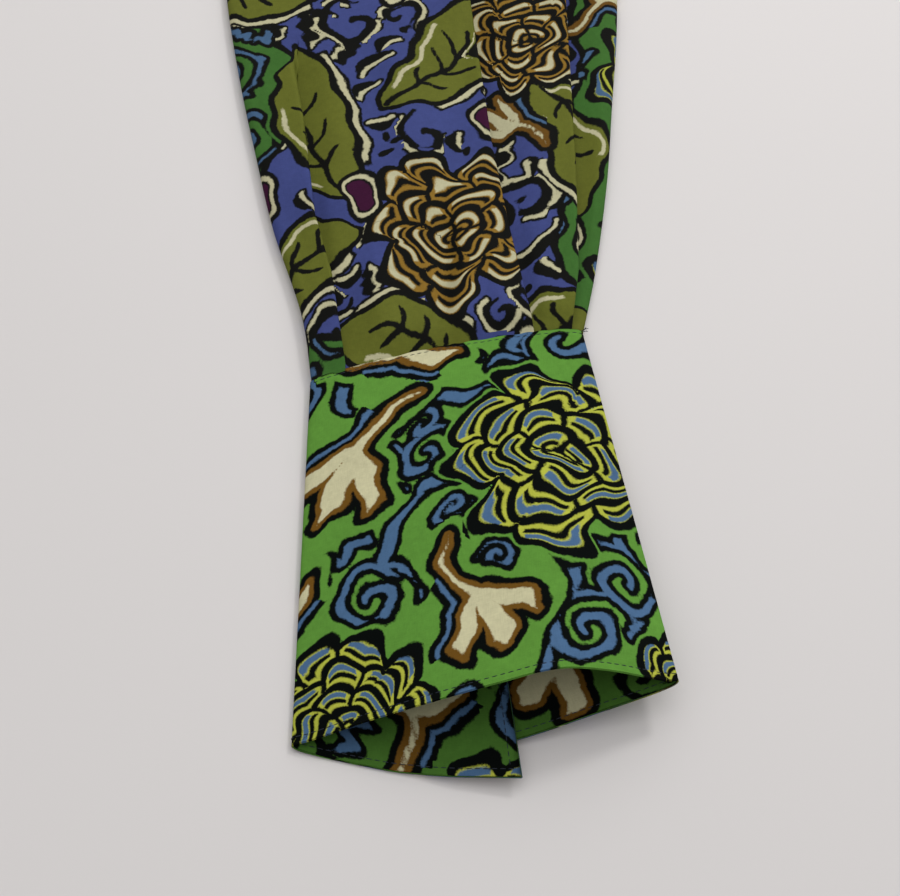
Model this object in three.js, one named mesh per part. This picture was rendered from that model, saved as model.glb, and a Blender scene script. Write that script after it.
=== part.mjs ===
// A long-sleeved shirt dress laid out on its back, front up, with both sleeves spread.
// Millimetres. +X is the wearer's left, +Y points to the collar and +Z up from the surface it
// lies on. Every piece of cloth is a thin wall round a middle surface.
import * as THREE from 'three';

// Walls and seams
const clothWall = 1.2;
const doubledWall = 1.6;
const seamGap = 0.3;
const plyPitch = clothWall + seamGap;
const mostMitre = 1.35;
const backMid = clothWall / 2;
const frontMid = backMid + plyPitch;
const placketMid = frontMid + clothWall / 2 + seamGap + doubledWall / 2;

// Body, measured from the side neck point
const neckHalfWidth = 68;
const frontNeckDrop = 82;
const backNeckDrop = 8;
const hemDrop = 1135;
const hemRise = 16;
const shoulderTip = new THREE.Vector2(205, -42);
const sideSeam = [
  { drop: 430, halfWidth: 238 },
  { drop: 640, halfWidth: 262 },
  { drop: 880, halfWidth: 297 },
];
const hemHalfWidth = 332;
const placketHalfWidth = 16;
const underlap = 14;
const armholeBow = 18;
const armholeGap = 0.55;

// Sleeve: a section for each row, in the sleeve's own frame. Across runs to the upper-arm side
// and along runs up the arm. Rise is the height of the upper layer's middle.
const sleeveLay = THREE.MathUtils.degToRad(70);
const sleeveRows = [
  { underU: -58, underV: 31.5, upperU: 57, upperV: 56, rise: 5.7, bow: 4 },
  { underU: -64.5, underV: 67, upperU: 64.4, upperV: 92, rise: 5.7, bow: 1 },
  { underU: -79.6, underV: 115, upperU: 72, upperV: 142, rise: 5.7, bow: 0 },
  { underU: -90.2, underV: 159, upperU: 77, upperV: 190, rise: 5.7, bow: 0 },
  { underU: -101, underV: 207, upperU: 82.5, upperV: 245, rise: 5.7, bow: 0 },
  { underU: -112, underV: 266, upperU: 86, upperV: 310, rise: 5.7, bow: 0 },
  { underU: -120, underV: 330, upperU: 90, upperV: 410, rise: 4.2, bow: 8 },
  { underU: -126, underV: 395, upperU: 92, upperV: 525, rise: frontMid, bow: armholeBow },
];
const sleeveRings = 15;

// Pleats at the cuff. Each is a knife fold that lies under the cloth on its underarm side.
// Depth is the fold's depth at the cuff; it is folded to one place and gone by the next.
const frontPleats = [
  {
    depth: 8, foldedTo: 196, goneBy: 240,
    line: [
      { along: 38, across: -44 }, { along: 86, across: -51.6 }, { along: 121, across: -60.7 },
      { along: 180, across: -68.7 }, { along: 240, across: -80 },
    ],
  },
  {
    depth: 12, foldedTo: 275, goneBy: 325,
    line: [
      { along: 55, across: 36 }, { along: 114, across: 26.3 }, { along: 164, across: 19.5 },
      { along: 259, across: 10.4 }, { along: 340, across: 5 },
    ],
  },
  {
    depth: 5, foldedTo: 288, goneBy: 338,
    line: [
      { along: 56, across: 52 }, { along: 89, across: 56.5 }, { along: 149, across: 57.9 },
      { along: 262, across: 57.8 }, { along: 340, across: 57 },
    ],
  },
];
const backPleats = [
  { depth: 10, foldedTo: 138, goneBy: 182, share: 0.57 },
  { depth: 10, foldedTo: 110, goneBy: 160, share: 0.36 },
];
const pleatRecovery = 20;
const lastFoldLength = 2;
const openedSpacing = 2;

// Cuff: straight cut, open at the underside, its ends lapped. The rows go round the band from
// the end that lies inside to the end that lies beneath it, at the seam and at the hem.
const cuffRows = [
  { seamAcross: 64, seamHeight: 2.9, hemU: 25.6, hemV: -144.3, hemHeight: 5.6 },
  { seamAcross: 46, seamHeight: 2.9, hemU: 2, hemV: -143, hemHeight: 3.2 },
  { seamAcross: 34, seamHeight: 1.3, hemU: -12, hemV: -141.2, hemHeight: 1.3 },
  { seamAcross: 24, seamHeight: 0.8, hemU: -24, hemV: -139.4, hemHeight: 0.8 },
  { seamAcross: 5, seamHeight: 0.8, hemU: -50, hemV: -133.6, hemHeight: 0.8 },
  { seamAcross: 0, seamHeight: 3.2, hemU: -57.5, hemV: -130.8, hemHeight: 1.9 },
  { seamAcross: 5, seamHeight: 5.7, hemU: -50, hemV: -129.6, hemHeight: 5 },
  { seamAcross: 26, seamHeight: 5.7, hemU: -30.4, hemV: -125.4, hemHeight: 12 },
  { seamAcross: 50, seamHeight: 5.7, hemU: -7, hemV: -121.6, hemHeight: 20.6 },
  { seamAcross: 74, seamHeight: 5.7, hemU: 17.8, hemV: -117.4, hemHeight: 28.2 },
  { seamAcross: 88, seamHeight: 5.7, hemU: 38, hemV: -114.4, hemHeight: 33.4 },
  { seamAcross: 100, seamHeight: 5.5, hemU: 56, hemV: -113, hemHeight: 29 },
  { seamAcross: 113, seamHeight: 4.4, hemU: 76, hemV: -112, hemHeight: 18.6 },
  { seamAcross: 117.6, seamHeight: 2.6, hemU: 83, hemV: -111.5, hemHeight: 15.4 },
  { seamAcross: 113, seamHeight: 0.8, hemU: 75, hemV: -114.6, hemHeight: 12.6 },
  { seamAcross: 95, seamHeight: 0.8, hemU: 52.5, hemV: -121, hemHeight: 8.2 },
  { seamAcross: 72, seamHeight: 0.8, hemU: 30, hemV: -127.4, hemHeight: 3.8 },
  { seamAcross: 48, seamHeight: 0.8, hemU: 4, hemV: -134, hemHeight: 0.8 },
];
const cuffRings = 8;
const cuffStartGap = 0.7;
const cuffStepsPerRow = 2;

// Soft folds of the two fronts, in the body's frame: a ridge from one place to another
const frontFolds = {
  front_left: [
    { fromX: 200, fromY: -330, toX: 90, toY: -520, height: 3.1, width: 24 },
    { fromX: 120, fromY: -560, toX: 150, toY: -1125, height: 3.3, width: 30 },
    { fromX: 210, fromY: -600, toX: 262, toY: -1120, height: 2.8, width: 26 },
    { fromX: 60, fromY: -760, toX: 62, toY: -1130, height: 2.6, width: 20 },
    { fromX: 120, fromY: -110, toX: 150, toY: -300, height: 2.2, width: 24 },
  ],
  front_right: [
    { fromX: -215, fromY: -345, toX: -110, toY: -480, height: 2.9, width: 22 },
    { fromX: -95, fromY: -600, toX: -112, toY: -1128, height: 3.3, width: 28 },
    { fromX: -190, fromY: -560, toX: -215, toY: -1122, height: 3, width: 30 },
    { fromX: -245, fromY: -820, toX: -292, toY: -1115, height: 2.4, width: 18 },
    { fromX: -135, fromY: -120, toX: -160, toY: -280, height: 2, width: 26 },
  ],
};
const flatBesidePlacket = 18;
const foldStartWidth = 26;

// Collar stand and collar: half of the neck ring, from the centre back to the centre front
const neckRing = [
  { footX: 0, footY: -5.5, topX: 0, topY: 3, topZ: 31, outX: 0, outY: 35, outZ: 0.9 },
  { footX: 30, footY: -4.5, topX: 30, topY: 3.5, topZ: 31, outX: 36, outY: 36, outZ: 0.9 },
  { footX: 52, footY: -1, topX: 50, topY: 1.5, topZ: 31, outX: 72, outY: 29, outZ: 1.2 },
  { footX: 64, footY: -3, topX: 62, topY: -4, topZ: 31, outX: 98, outY: 9, outZ: 4.2 },
  { footX: 66.5, footY: -12, topX: 64.5, topY: -14, topZ: 30, outX: 108, outY: -22, outZ: 4.2 },
  { footX: 65, footY: -26, topX: 62, topY: -28, topZ: 30, outX: 104, outY: -58, outZ: 4.2 },
  { footX: 56, footY: -46, topX: 52, topY: -47, topZ: 29, outX: 92, outY: -95, outZ: 4.2 },
  { footX: 40, footY: -65, topX: 36, topY: -64, topZ: 28.5, outX: 74, outY: -127, outZ: 4.2 },
  { footX: 21, footY: -77, topX: 19, topY: -75, topZ: 28, outX: 52, outY: -150, outZ: 4.4 },
  { footX: 0, footY: -80.5, topX: 0, topY: -78, topZ: 27, outX: 0, outY: -150, outZ: 4.4 },
];
const collarEndRow = 8.15;
const standEnd = 9.6;
const lapClear = 7.5;
const lapStep = 0.7;
const standOnBackRow = 3.1;
const standStations = 40;
const standRows = 3;
const collarStations = 26;
const collarSteps = [
  { outward: 0, drop: 0 },
  { outward: 0.1, drop: 0.02 },
  { outward: 0.25, drop: 0.14 },
  { outward: 0.5, drop: 0.46 },
  { outward: 0.75, drop: 0.82 },
  { outward: 1, drop: 1 },
];

// Buttons
const buttonRadius = 5.6;
const buttonHeight = 2.6;
const buttonSides = 12;
const buttonCount = 9;
const firstButtonDrop = 132;
const buttonSpacing = 100;
const standButtonUp = 0.55;

// Finishes
const cottonFinish = { color: 0x46823a, roughness: 0.82, metalness: 0 };
const cuffFinish = { color: 0x5a9a35, roughness: 0.8, metalness: 0 };
const sleeveFinish = { color: 0x4a50a0, roughness: 0.82, metalness: 0 };
const buttonFinish = { color: 0x14101c, roughness: 0.35, metalness: 0 };

const lerp = THREE.MathUtils.lerp;
const smooth = (t) => THREE.MathUtils.smoothstep(t, 0, 1);

// The value of one column of a table at a row number that may lie between rows
function columnAt(rows, column, place) {
  const last = rows.length - 1;
  const at = THREE.MathUtils.clamp(place, 0, last);
  const row = Math.min(Math.floor(at), last - 1);
  const value = (index) => rows[THREE.MathUtils.clamp(index, 0, last)][column];
  const t = at - row;
  const before = value(row - 1);
  const from = value(row);
  const to = value(row + 1);
  const after = value(row + 2);
  const slopeFrom = row > 0 ? (to - before) / 2 : to - from;
  const slopeTo = row + 2 > last ? to - from : (after - from) / 2;
  const t2 = t * t;
  const t3 = t2 * t;
  return (2 * t3 - 3 * t2 + 1) * from + (t3 - 2 * t2 + t) * slopeFrom
    + (3 * t2 - 2 * t3) * to + (t3 - t2) * slopeTo;
}

// The value of one column of a table whose first column grows, at a value of that column
function tableAt(rows, key, column, at) {
  if (at <= rows[0][key]) return rows[0][column];
  for (let i = 1; i < rows.length; i += 1) {
    if (at <= rows[i][key]) {
      const t = (at - rows[i - 1][key]) / (rows[i][key] - rows[i - 1][key]);
      return lerp(rows[i - 1][column], rows[i][column], t);
    }
  }
  return rows[rows.length - 1][column];
}

// The direction of a line of points at one of them, between its two neighbours
function lineTangent(before, here, after) {
  const arrive = (before ? here.clone().sub(before) : after.clone().sub(here)).normalize();
  const leave = (after ? after.clone().sub(here) : here.clone().sub(before)).normalize();
  return { arrive, direction: arrive.clone().add(leave).normalize() };
}

// A closed wall round a grid of points: grid[row][station], with stations joined in a ring
// where the grid is a tube
function wallGeometry(grid, wall, isRing) {
  const rowCount = grid.length;
  const stationCount = grid[0].length;
  const faces = [[], []];
  for (let j = 0; j < rowCount; j += 1) {
    for (let i = 0; i < stationCount; i += 1) {
      const here = grid[j][i];
      const before = isRing || i > 0 ? grid[j][(i + stationCount - 1) % stationCount] : null;
      const after = isRing || i < stationCount - 1 ? grid[j][(i + 1) % stationCount] : null;
      const round = lineTangent(before, here, after);
      const along = lineTangent(grid[j - 1]?.[i], here, grid[j + 1]?.[i]);
      const normal = round.direction.clone().cross(along.direction).normalize();
      const slant = normal.dot(round.arrive);
      const reach = (wall / 2) * Math.min(1 / Math.sqrt(1 - slant * slant), mostMitre);
      for (const side of [0, 1]) {
        const point = here.clone().addScaledVector(normal, side === 0 ? reach : -reach);
        point.z = Math.max(point.z, 0);
        faces[side].push(point);
      }
    }
  }
  const positions = [...faces[0], ...faces[1]].flatMap((point) => [point.x, point.y, point.z]);
  const perSide = rowCount * stationCount;
  const vertex = (side, j, i) => side * perSide + j * stationCount + (i % stationCount);
  const triangles = [];
  const quad = (a, b, c, d) => triangles.push(a, b, c, a, c, d);
  const cells = isRing ? stationCount : stationCount - 1;
  for (let j = 0; j < rowCount - 1; j += 1) {
    for (let i = 0; i < cells; i += 1) {
      quad(vertex(0, j, i), vertex(0, j, i + 1), vertex(0, j + 1, i + 1), vertex(0, j + 1, i));
      quad(vertex(1, j, i), vertex(1, j + 1, i), vertex(1, j + 1, i + 1), vertex(1, j, i + 1));
    }
  }
  const lastRow = rowCount - 1;
  for (let i = 0; i < cells; i += 1) {
    quad(vertex(1, 0, i), vertex(1, 0, i + 1), vertex(0, 0, i + 1), vertex(0, 0, i));
    quad(vertex(0, lastRow, i), vertex(0, lastRow, i + 1),
      vertex(1, lastRow, i + 1), vertex(1, lastRow, i));
  }
  const lastStation = stationCount - 1;
  for (let j = 0; !isRing && j < rowCount - 1; j += 1) {
    quad(vertex(0, j, 0), vertex(0, j + 1, 0), vertex(1, j + 1, 0), vertex(1, j, 0));
    quad(vertex(1, j, lastStation), vertex(1, j + 1, lastStation),
      vertex(0, j + 1, lastStation), vertex(0, j, lastStation));
  }
  return outwardGeometry(positions, triangles);
}

// A geometry whose triangles all face out, whichever way round its grid ran
function outwardGeometry(positions, triangles) {
  let volume = 0;
  const corner = (index) => new THREE.Vector3().fromArray(positions, index * 3);
  for (let k = 0; k < triangles.length; k += 3) {
    const [a, b, c] = [0, 1, 2].map((step) => corner(triangles[k + step]));
    volume += a.dot(b.cross(c));
  }
  if (volume < 0) triangles.reverse();
  const geometry = new THREE.BufferGeometry();
  geometry.setAttribute('position', new THREE.Float32BufferAttribute(positions, 3));
  geometry.setIndex(triangles);
  geometry.computeVertexNormals();
  return geometry;
}

// From the sleeve's frame to the dress: side is 1 for the wearer's left and -1 for the right
const armAcross = new THREE.Vector2(Math.cos(sleeveLay), Math.sin(sleeveLay));
const armAlong = new THREE.Vector2(-Math.sin(sleeveLay), Math.cos(sleeveLay));
const armTop = sleeveRows[sleeveRows.length - 1];
function onSleeve(u, v, z, side) {
  const point = shoulderTip.clone()
    .addScaledVector(armAcross, u - armTop.upperU)
    .addScaledVector(armAlong, v - armTop.upperV);
  return new THREE.Vector3(point.x * side, point.y, z);
}

// A seam's bow at a share of its length. It runs straight between a few places, so that the
// pieces on its two sides, whose points lie elsewhere, keep their gap.
const bowSteps = 5;
function bowShape(share) {
  const step = Math.min(Math.floor(share * bowSteps), bowSteps - 1);
  const curve = (at) => 4 * at * (1 - at);
  return lerp(curve(step / bowSteps), curve((step + 1) / bowSteps), share * bowSteps - step);
}

// A section of the sleeve laid flat: its two edges, and the place of a point a distance across
function sleeveSection(place) {
  const value = (column) => columnAt(sleeveRows, column, place);
  const under = new THREE.Vector2(value('underU'), value('underV'));
  const upper = new THREE.Vector2(value('upperU'), value('upperV'));
  const chord = upper.clone().sub(under);
  const width = chord.length();
  const bowWay = new THREE.Vector2(-chord.y, chord.x).divideScalar(width);
  const bow = value('bow');
  const pointAt = (across) => {
    const share = across / width;
    return under.clone().addScaledVector(chord, share)
      .addScaledVector(bowWay, bow * bowShape(share));
  };
  return { width, rise: value('rise'), pointAt, bowWay };
}

// Where a pleat crosses a section, how deep it lies there and how far it is turned under
function pleatAt(pleat, section) {
  let across = (pleat.share ?? 0.5) * section.width;
  for (let round = 0; pleat.line && round < 6; round += 1) {
    const here = section.pointAt(across);
    const target = tableAt(pleat.line, 'along', 'across', here.y);
    across += target - here.x;
  }
  const along = section.pointAt(across).y;
  const cuffEnd = sleeveRows[0].underV;
  const folded = THREE.MathUtils.clamp((along - cuffEnd) / (pleat.foldedTo - cuffEnd), 0, 1);
  const opened = (along - pleat.foldedTo) / (pleat.goneBy - pleat.foldedTo);
  const closed = 1 - THREE.MathUtils.clamp(opened, 0, 1);
  return {
    across,
    turn: Math.PI * closed,
    closed,
    length: lerp(pleat.depth, lastFoldLength, folded) * closed,
  };
}

// One layer of a section with its knife folds, run from one edge to the other. The folds hang
// to the inside of the sleeve, so inward is -1 in the upper layer and 1 in the lower one.
function layerPath(from, to, height, inward, folds) {
  const path = [];
  const bend = plyPitch / 2;
  const dropOf = (fold) => 2 * bend * (1 - Math.cos(fold.turn)) + fold.length * Math.sin(fold.turn);
  let dip = () => 0;
  const add = (run, extra = 0) => path.push({ run, height: height + inward * (dip(run) + extra) });
  add(from);
  let open = from;
  folds.forEach((fold, index) => {
    const next = folds[index + 1];
    add(lerp(open, fold.across - fold.length, 0.55));
    const start = fold.across - bend * fold.closed;
    const base = dip(start);
    let run = start;
    let drop = base;
    const spread = (step) => (1 - fold.closed) * openedSpacing * (step - 2.5);
    const put = (step) => path.push({
      run: run + spread(step), height: height + inward * drop,
    });
    for (const share of [0, 0.5, 1]) {
      run = start + bend * Math.sin(fold.turn * share);
      drop = base + bend * (1 - Math.cos(fold.turn * share));
      put(share * 2);
    }
    const foldRun = run + fold.length * Math.cos(fold.turn);
    const foldDrop = drop + fold.length * Math.sin(fold.turn);
    for (const share of [1, 0.5, 0]) {
      run = foldRun + bend * (Math.sin(fold.turn) - Math.sin(fold.turn * share));
      drop = foldDrop + bend * (Math.cos(fold.turn * share) - Math.cos(fold.turn));
      put(5 - share * 2);
    }
    const limit = next ? next.across - next.length - plyPitch : lerp(fold.across, to, 0.8);
    const clear = lerp(openedSpacing * 3, plyPitch * 2.4, fold.closed);
    const emerge = fold.across + Math.min(clear, (limit - fold.across) * 0.4);
    const recovery = pleatRecovery - (emerge - fold.across);
    const depth = dropOf(fold);
    open = Math.min(emerge + recovery, limit);
    const whole = next ? open - emerge : recovery;
    dip = (at) => depth * (1 - smooth((at - emerge) / whole));
    add(emerge);
    add(lerp(emerge, open, 0.5));
    add(open);
  });
  add(lerp(open, to, 0.5));
  add(to);
  return path;
}

// The middle line of a sleeve's wall at one place along it, as a ring
function sleeveRing(place, side) {
  const section = sleeveSection(place);
  const { width, rise } = section;
  const upper = frontPleats.map((pleat) => pleatAt(pleat, section));
  const lower = backPleats.map((pleat) => pleatAt(pleat, section))
    .map((fold) => ({ ...fold, across: width - fold.across }));
  const outerFold = upper[upper.length - 1];
  const outerDrop = plyPitch * 2 * outerFold.closed
    * (1 - smooth((width - outerFold.across) / pleatRecovery - 0.1));
  const underRadius = (rise - backMid) / 2;
  const upperRadius = (rise - outerDrop - backMid) / 2;
  const ring = [];
  const put = (across, height) => {
    const point = section.pointAt(across);
    ring.push(onSleeve(point.x, point.y, height, side));
  };
  const edge = (middle, radius, start) => {
    for (const turn of [0.25, 0.5, 0.75]) {
      const angle = start - Math.PI * turn;
      put(middle + radius * Math.cos(angle), backMid + radius + radius * Math.sin(angle));
    }
  };
  layerPath(upperRadius, width - underRadius, backMid, 1, lower)
    .forEach((step) => put(width - step.run, step.height));
  edge(underRadius, underRadius, -Math.PI / 2);
  const top = layerPath(underRadius, width - upperRadius, rise, -1, upper);
  top[top.length - 1].height = backMid + upperRadius * 2;
  top.forEach((step) => put(step.run, step.height));
  edge(width - upperRadius, upperRadius, Math.PI / 2);
  return ring;
}

function sleeveGeometry(side) {
  const grid = [];
  for (let j = 0; j < sleeveRings; j += 1) {
    grid.push(sleeveRing((j / (sleeveRings - 1)) * (sleeveRows.length - 1), side));
  }
  return wallGeometry(grid, clothWall, true);
}

// The cuff band, straight from its seam to its hem along every row
function cuffGeometry(side) {
  const seam = sleeveSection(0);
  const stationCount = (cuffRows.length - 1) * cuffStepsPerRow + 1;
  const grid = [];
  for (let j = 0; j < cuffRings; j += 1) {
    const down = j / (cuffRings - 1);
    const row = [];
    for (let i = 0; i < stationCount; i += 1) {
      const value = (column) => columnAt(cuffRows, column, i / cuffStepsPerRow);
      const start = seam.pointAt(value('seamAcross')).addScaledVector(seam.bowWay, -cuffStartGap);
      const u = lerp(start.x, value('hemU'), down);
      const v = lerp(start.y, value('hemV'), down);
      const height = lerp(value('seamHeight'), value('hemHeight'), down);
      row.push(onSleeve(u, v, Math.max(height, doubledWall / 2), side));
    }
    grid.push(row);
  }
  return wallGeometry(grid, doubledWall, false);
}

// The armhole from the shoulder tip down to the underarm, set in from the end of the sleeve
const armhole = sleeveSection(sleeveRows.length - 1);
function armholePoint(share) {
  const inset = armhole.pointAt(armhole.width * (1 - share))
    .addScaledVector(armhole.bowWay, armholeGap);
  const point = onSleeve(inset.x, inset.y, 0, 1);
  return new THREE.Vector2(point.x, point.y);
}
const underarm = armholePoint(1);

// The upper edge of half a panel, from the centre line to the underarm, with its neck cut
function upperEdge(share, neckDrop, innerEdge) {
  const neckShare = 0.2;
  const shoulderShare = 0.5;
  if (share < neckShare) {
    const start = Math.asin(innerEdge / neckHalfWidth);
    const angle = lerp(start, Math.PI / 2, share / neckShare);
    return new THREE.Vector2(neckHalfWidth * Math.sin(angle), -neckDrop * Math.cos(angle));
  }
  if (share < shoulderShare) {
    const t = (share - neckShare) / (shoulderShare - neckShare);
    return new THREE.Vector2(neckHalfWidth, 0).lerp(armholePoint(0), t);
  }
  return armholePoint((share - shoulderShare) / (1 - shoulderShare));
}

const hemY = (x) => -hemDrop + hemRise * (x / hemHalfWidth) ** 2;
const sideRows = [
  { drop: -underarm.y, halfWidth: underarm.x },
  ...sideSeam,
  { drop: -hemY(hemHalfWidth), halfWidth: hemHalfWidth },
];
function sideEdge(down) {
  const drop = lerp(sideRows[0].drop, sideRows[sideRows.length - 1].drop, down);
  return new THREE.Vector2(tableAt(sideRows, 'drop', 'halfWidth', drop), -drop);
}

// A place on half a panel: across from its inner edge to its side, down from top to hem
function panelPoint(across, down, neckDrop, innerEdge) {
  const top = upperEdge(across, neckDrop, innerEdge);
  const hemX = lerp(innerEdge, hemHalfWidth, across);
  const hem = new THREE.Vector2(hemX, hemY(hemX));
  const topInner = upperEdge(0, neckDrop, innerEdge);
  const inner = new THREE.Vector2(innerEdge, lerp(topInner.y, hemY(innerEdge), down));
  const outer = sideEdge(down);
  const blend = (a, b, t) => a.clone().lerp(b, t);
  const corners = blend(blend(topInner, underarm, across),
    blend(new THREE.Vector2(innerEdge, hemY(innerEdge)), sideEdge(1), across), down);
  return blend(top, hem, down).add(blend(inner, outer, across)).sub(corners);
}

// Height added by a front's soft folds at a place on it
function foldHeight(x, y, folds) {
  let height = 0;
  for (const fold of folds) {
    const start = new THREE.Vector2(fold.fromX, fold.fromY);
    const run = new THREE.Vector2(fold.toX, fold.toY).sub(start);
    const offset = new THREE.Vector2(x, y).sub(start);
    const share = offset.dot(run) / run.lengthSq();
    const aside = Math.abs(offset.cross(run)) / run.length();
    const grows = smooth(share / 0.35 + 0.3);
    const ends = fold.toY < -1100 ? 1 : 1 - smooth((share - 0.7) / 0.4);
    height = Math.max(height, fold.height * grows * ends * Math.exp(-((aside / fold.width) ** 2)));
  }
  return height;
}

const frontRows = 21;
const backRowCount = 11;
const placketRows = 4;
const frontColumns = 11;
function frontGeometry(name, side, innerEdge) {
  const grid = [];
  for (let j = 0; j < frontRows; j += 1) {
    const row = [];
    const down = j / (frontRows - 1);
    for (let i = 0; i < frontColumns; i += 1) {
      const across = i / (frontColumns - 1);
      const place = panelPoint(across, down, frontNeckDrop, innerEdge);
      const free = smooth((Math.abs(place.x) - flatBesidePlacket) / foldStartWidth)
        * smooth((1 - across) * 6) * smooth(down * 9);
      const rise = foldHeight(place.x * side, place.y, frontFolds[name]) * free;
      row.push(new THREE.Vector3(place.x * side, place.y, frontMid + rise));
    }
    grid.push(row);
  }
  return wallGeometry(grid, clothWall, false);
}

function backGeometry() {
  const columns = 2 * (frontColumns - 1);
  const grid = [];
  for (let j = 0; j < backRowCount; j += 1) {
    const row = [];
    for (let i = 0; i <= columns; i += 1) {
      const across = Math.abs(i / columns - 0.5) * 2;
      const side = i * 2 < columns ? -1 : 1;
      const place = panelPoint(across, j / (backRowCount - 1), backNeckDrop, 0);
      row.push(new THREE.Vector3(place.x * side, place.y, backMid));
    }
    grid.push(row);
  }
  return wallGeometry(grid, clothWall, false);
}

// The band down the centre front, on the wearer's right front and over the left one
function placketGeometry() {
  const top = neckRing[neckRing.length - 1].footY - doubledWall * 2 - seamGap * 2;
  const grid = [];
  for (let j = 0; j < placketRows; j += 1) {
    const row = [];
    for (const x of [-placketHalfWidth, 0, placketHalfWidth]) {
      row.push(new THREE.Vector3(x, lerp(top, hemY(0), j / (placketRows - 1)), placketMid));
    }
    grid.push(row);
  }
  return wallGeometry(grid, doubledWall, false);
}

// A place on the neck ring is a row of its table, below 0 on the wearer's right. Past the last
// row, at the centre front, the ring goes on over the other side.
const frontRow = neckRing.length - 1;
const rowOf = (place) => frontRow - Math.abs(frontRow - Math.abs(place));
const ringValue = (column, place) => columnAt(neckRing, column, rowOf(place));
const ringSide = (place) => Math.sign(place) * (Math.abs(place) > frontRow ? -1 : 1);

// The stand: a band round the neck. Its right end passes outside its left end at the front.
function standPoint(place, up) {
  const x = lerp(ringValue('footX', place), ringValue('topX', place), up);
  const y = lerp(ringValue('footY', place), ringValue('topY', place), up);
  const outside = (doubledWall + seamGap) * smooth((-place - lapClear) / lapStep);
  const top = ringValue('topZ', place) - 2 * doubledWall;
  const onBack = smooth((standOnBackRow - Math.abs(place)) / 1.2);
  const foot = lerp(frontMid, backMid, onBack) + clothWall / 2 + seamGap;
  return new THREE.Vector3(x * ringSide(place), y - outside, lerp(foot, top, up));
}

function standGeometry() {
  const grid = [];
  for (let j = 0; j < standRows; j += 1) {
    const row = [];
    for (let i = 0; i <= standStations; i += 1) {
      row.push(standPoint(lerp(-standEnd, standEnd, i / standStations), j / (standRows - 1)));
    }
    grid.push(row);
  }
  return wallGeometry(grid, doubledWall, false);
}

// The collar: it starts on the stand's upper edge, turns over and falls outward to its edge
function collarGeometry() {
  const grid = [];
  for (const step of collarSteps) {
    const row = [];
    for (let i = 0; i <= collarStations; i += 1) {
      const place = lerp(-collarEndRow, collarEndRow, i / collarStations);
      const side = ringSide(place);
      const x = lerp(ringValue('topX', place), ringValue('outX', place), step.outward);
      const y = lerp(ringValue('topY', place), ringValue('outY', place), step.outward);
      const top = ringValue('topZ', place);
      const z = lerp(top, ringValue('outZ', place), step.drop);
      row.push(new THREE.Vector3(x * side, y, z));
    }
    grid.push(row);
  }
  return wallGeometry(grid, doubledWall, false);
}

// A plain round button with a raised rim, its back on the plane z = 0
function buttonGeometry() {
  const profile = [
    [0, 0],
    [buttonRadius - 0.5, 0],
    [buttonRadius, 0.8],
    [buttonRadius, buttonHeight - 0.6],
    [buttonRadius - 0.8, buttonHeight],
    [buttonRadius - 1.8, buttonHeight - 0.7],
    [0, buttonHeight - 0.8],
  ].map(([radius, height]) => new THREE.Vector2(radius, height));
  return new THREE.LatheGeometry(profile, buttonSides).rotateX(Math.PI / 2);
}

const dress = new THREE.Group();
dress.name = 'shirt_dress';
function addPiece(name, geometry, finish) {
  const mesh = new THREE.Mesh(geometry, new THREE.MeshStandardMaterial(finish));
  mesh.name = name;
  dress.add(mesh);
  return mesh;
}

addPiece('back', backGeometry(), cottonFinish);
addPiece('front_left', frontGeometry('front_left', 1, -underlap), cottonFinish);
addPiece('front_right', frontGeometry('front_right', -1, placketHalfWidth + seamGap), cottonFinish);
addPiece('placket', placketGeometry(), cottonFinish);
addPiece('collar_stand', standGeometry(), cottonFinish);
addPiece('collar', collarGeometry(), cottonFinish);
for (const [name, side] of [['left', 1], ['right', -1]]) {
  addPiece(`sleeve_${name}`, sleeveGeometry(side), sleeveFinish);
  addPiece(`cuff_${name}`, cuffGeometry(side), cuffFinish);
}
for (let i = 0; i < buttonCount; i += 1) {
  const button = addPiece(`button_${i + 1}`, buttonGeometry(), buttonFinish);
  const drop = firstButtonDrop + i * buttonSpacing;
  button.position.set(0, -drop, placketMid + doubledWall / 2 + seamGap);
}
const standButton = addPiece('button_stand', buttonGeometry(), buttonFinish);
const standRise = standPoint(-frontRow, 1).sub(standPoint(-frontRow, 0)).normalize();
const standOutward = new THREE.Vector3(0, -standRise.z, standRise.y);
standButton.quaternion.setFromUnitVectors(new THREE.Vector3(0, 0, 1), standOutward);
standButton.position.copy(standPoint(-frontRow, standButtonUp))
  .addScaledVector(standOutward, doubledWall / 2 + seamGap);

// The origin is under the middle of the dress, on the surface it lies on
const box = new THREE.Box3().setFromObject(dress, true);
const middle = box.getCenter(new THREE.Vector3());
dress.position.set(-middle.x, -middle.y, -box.min.z);

export default dress;
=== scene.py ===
# A printed shirt dress laid out on its back, seen at the cuff of its left sleeve.
import math

import bmesh
import bpy
import numpy as np
from mathutils import Matrix, Vector
from mathutils.bvhtree import BVHTree


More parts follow.
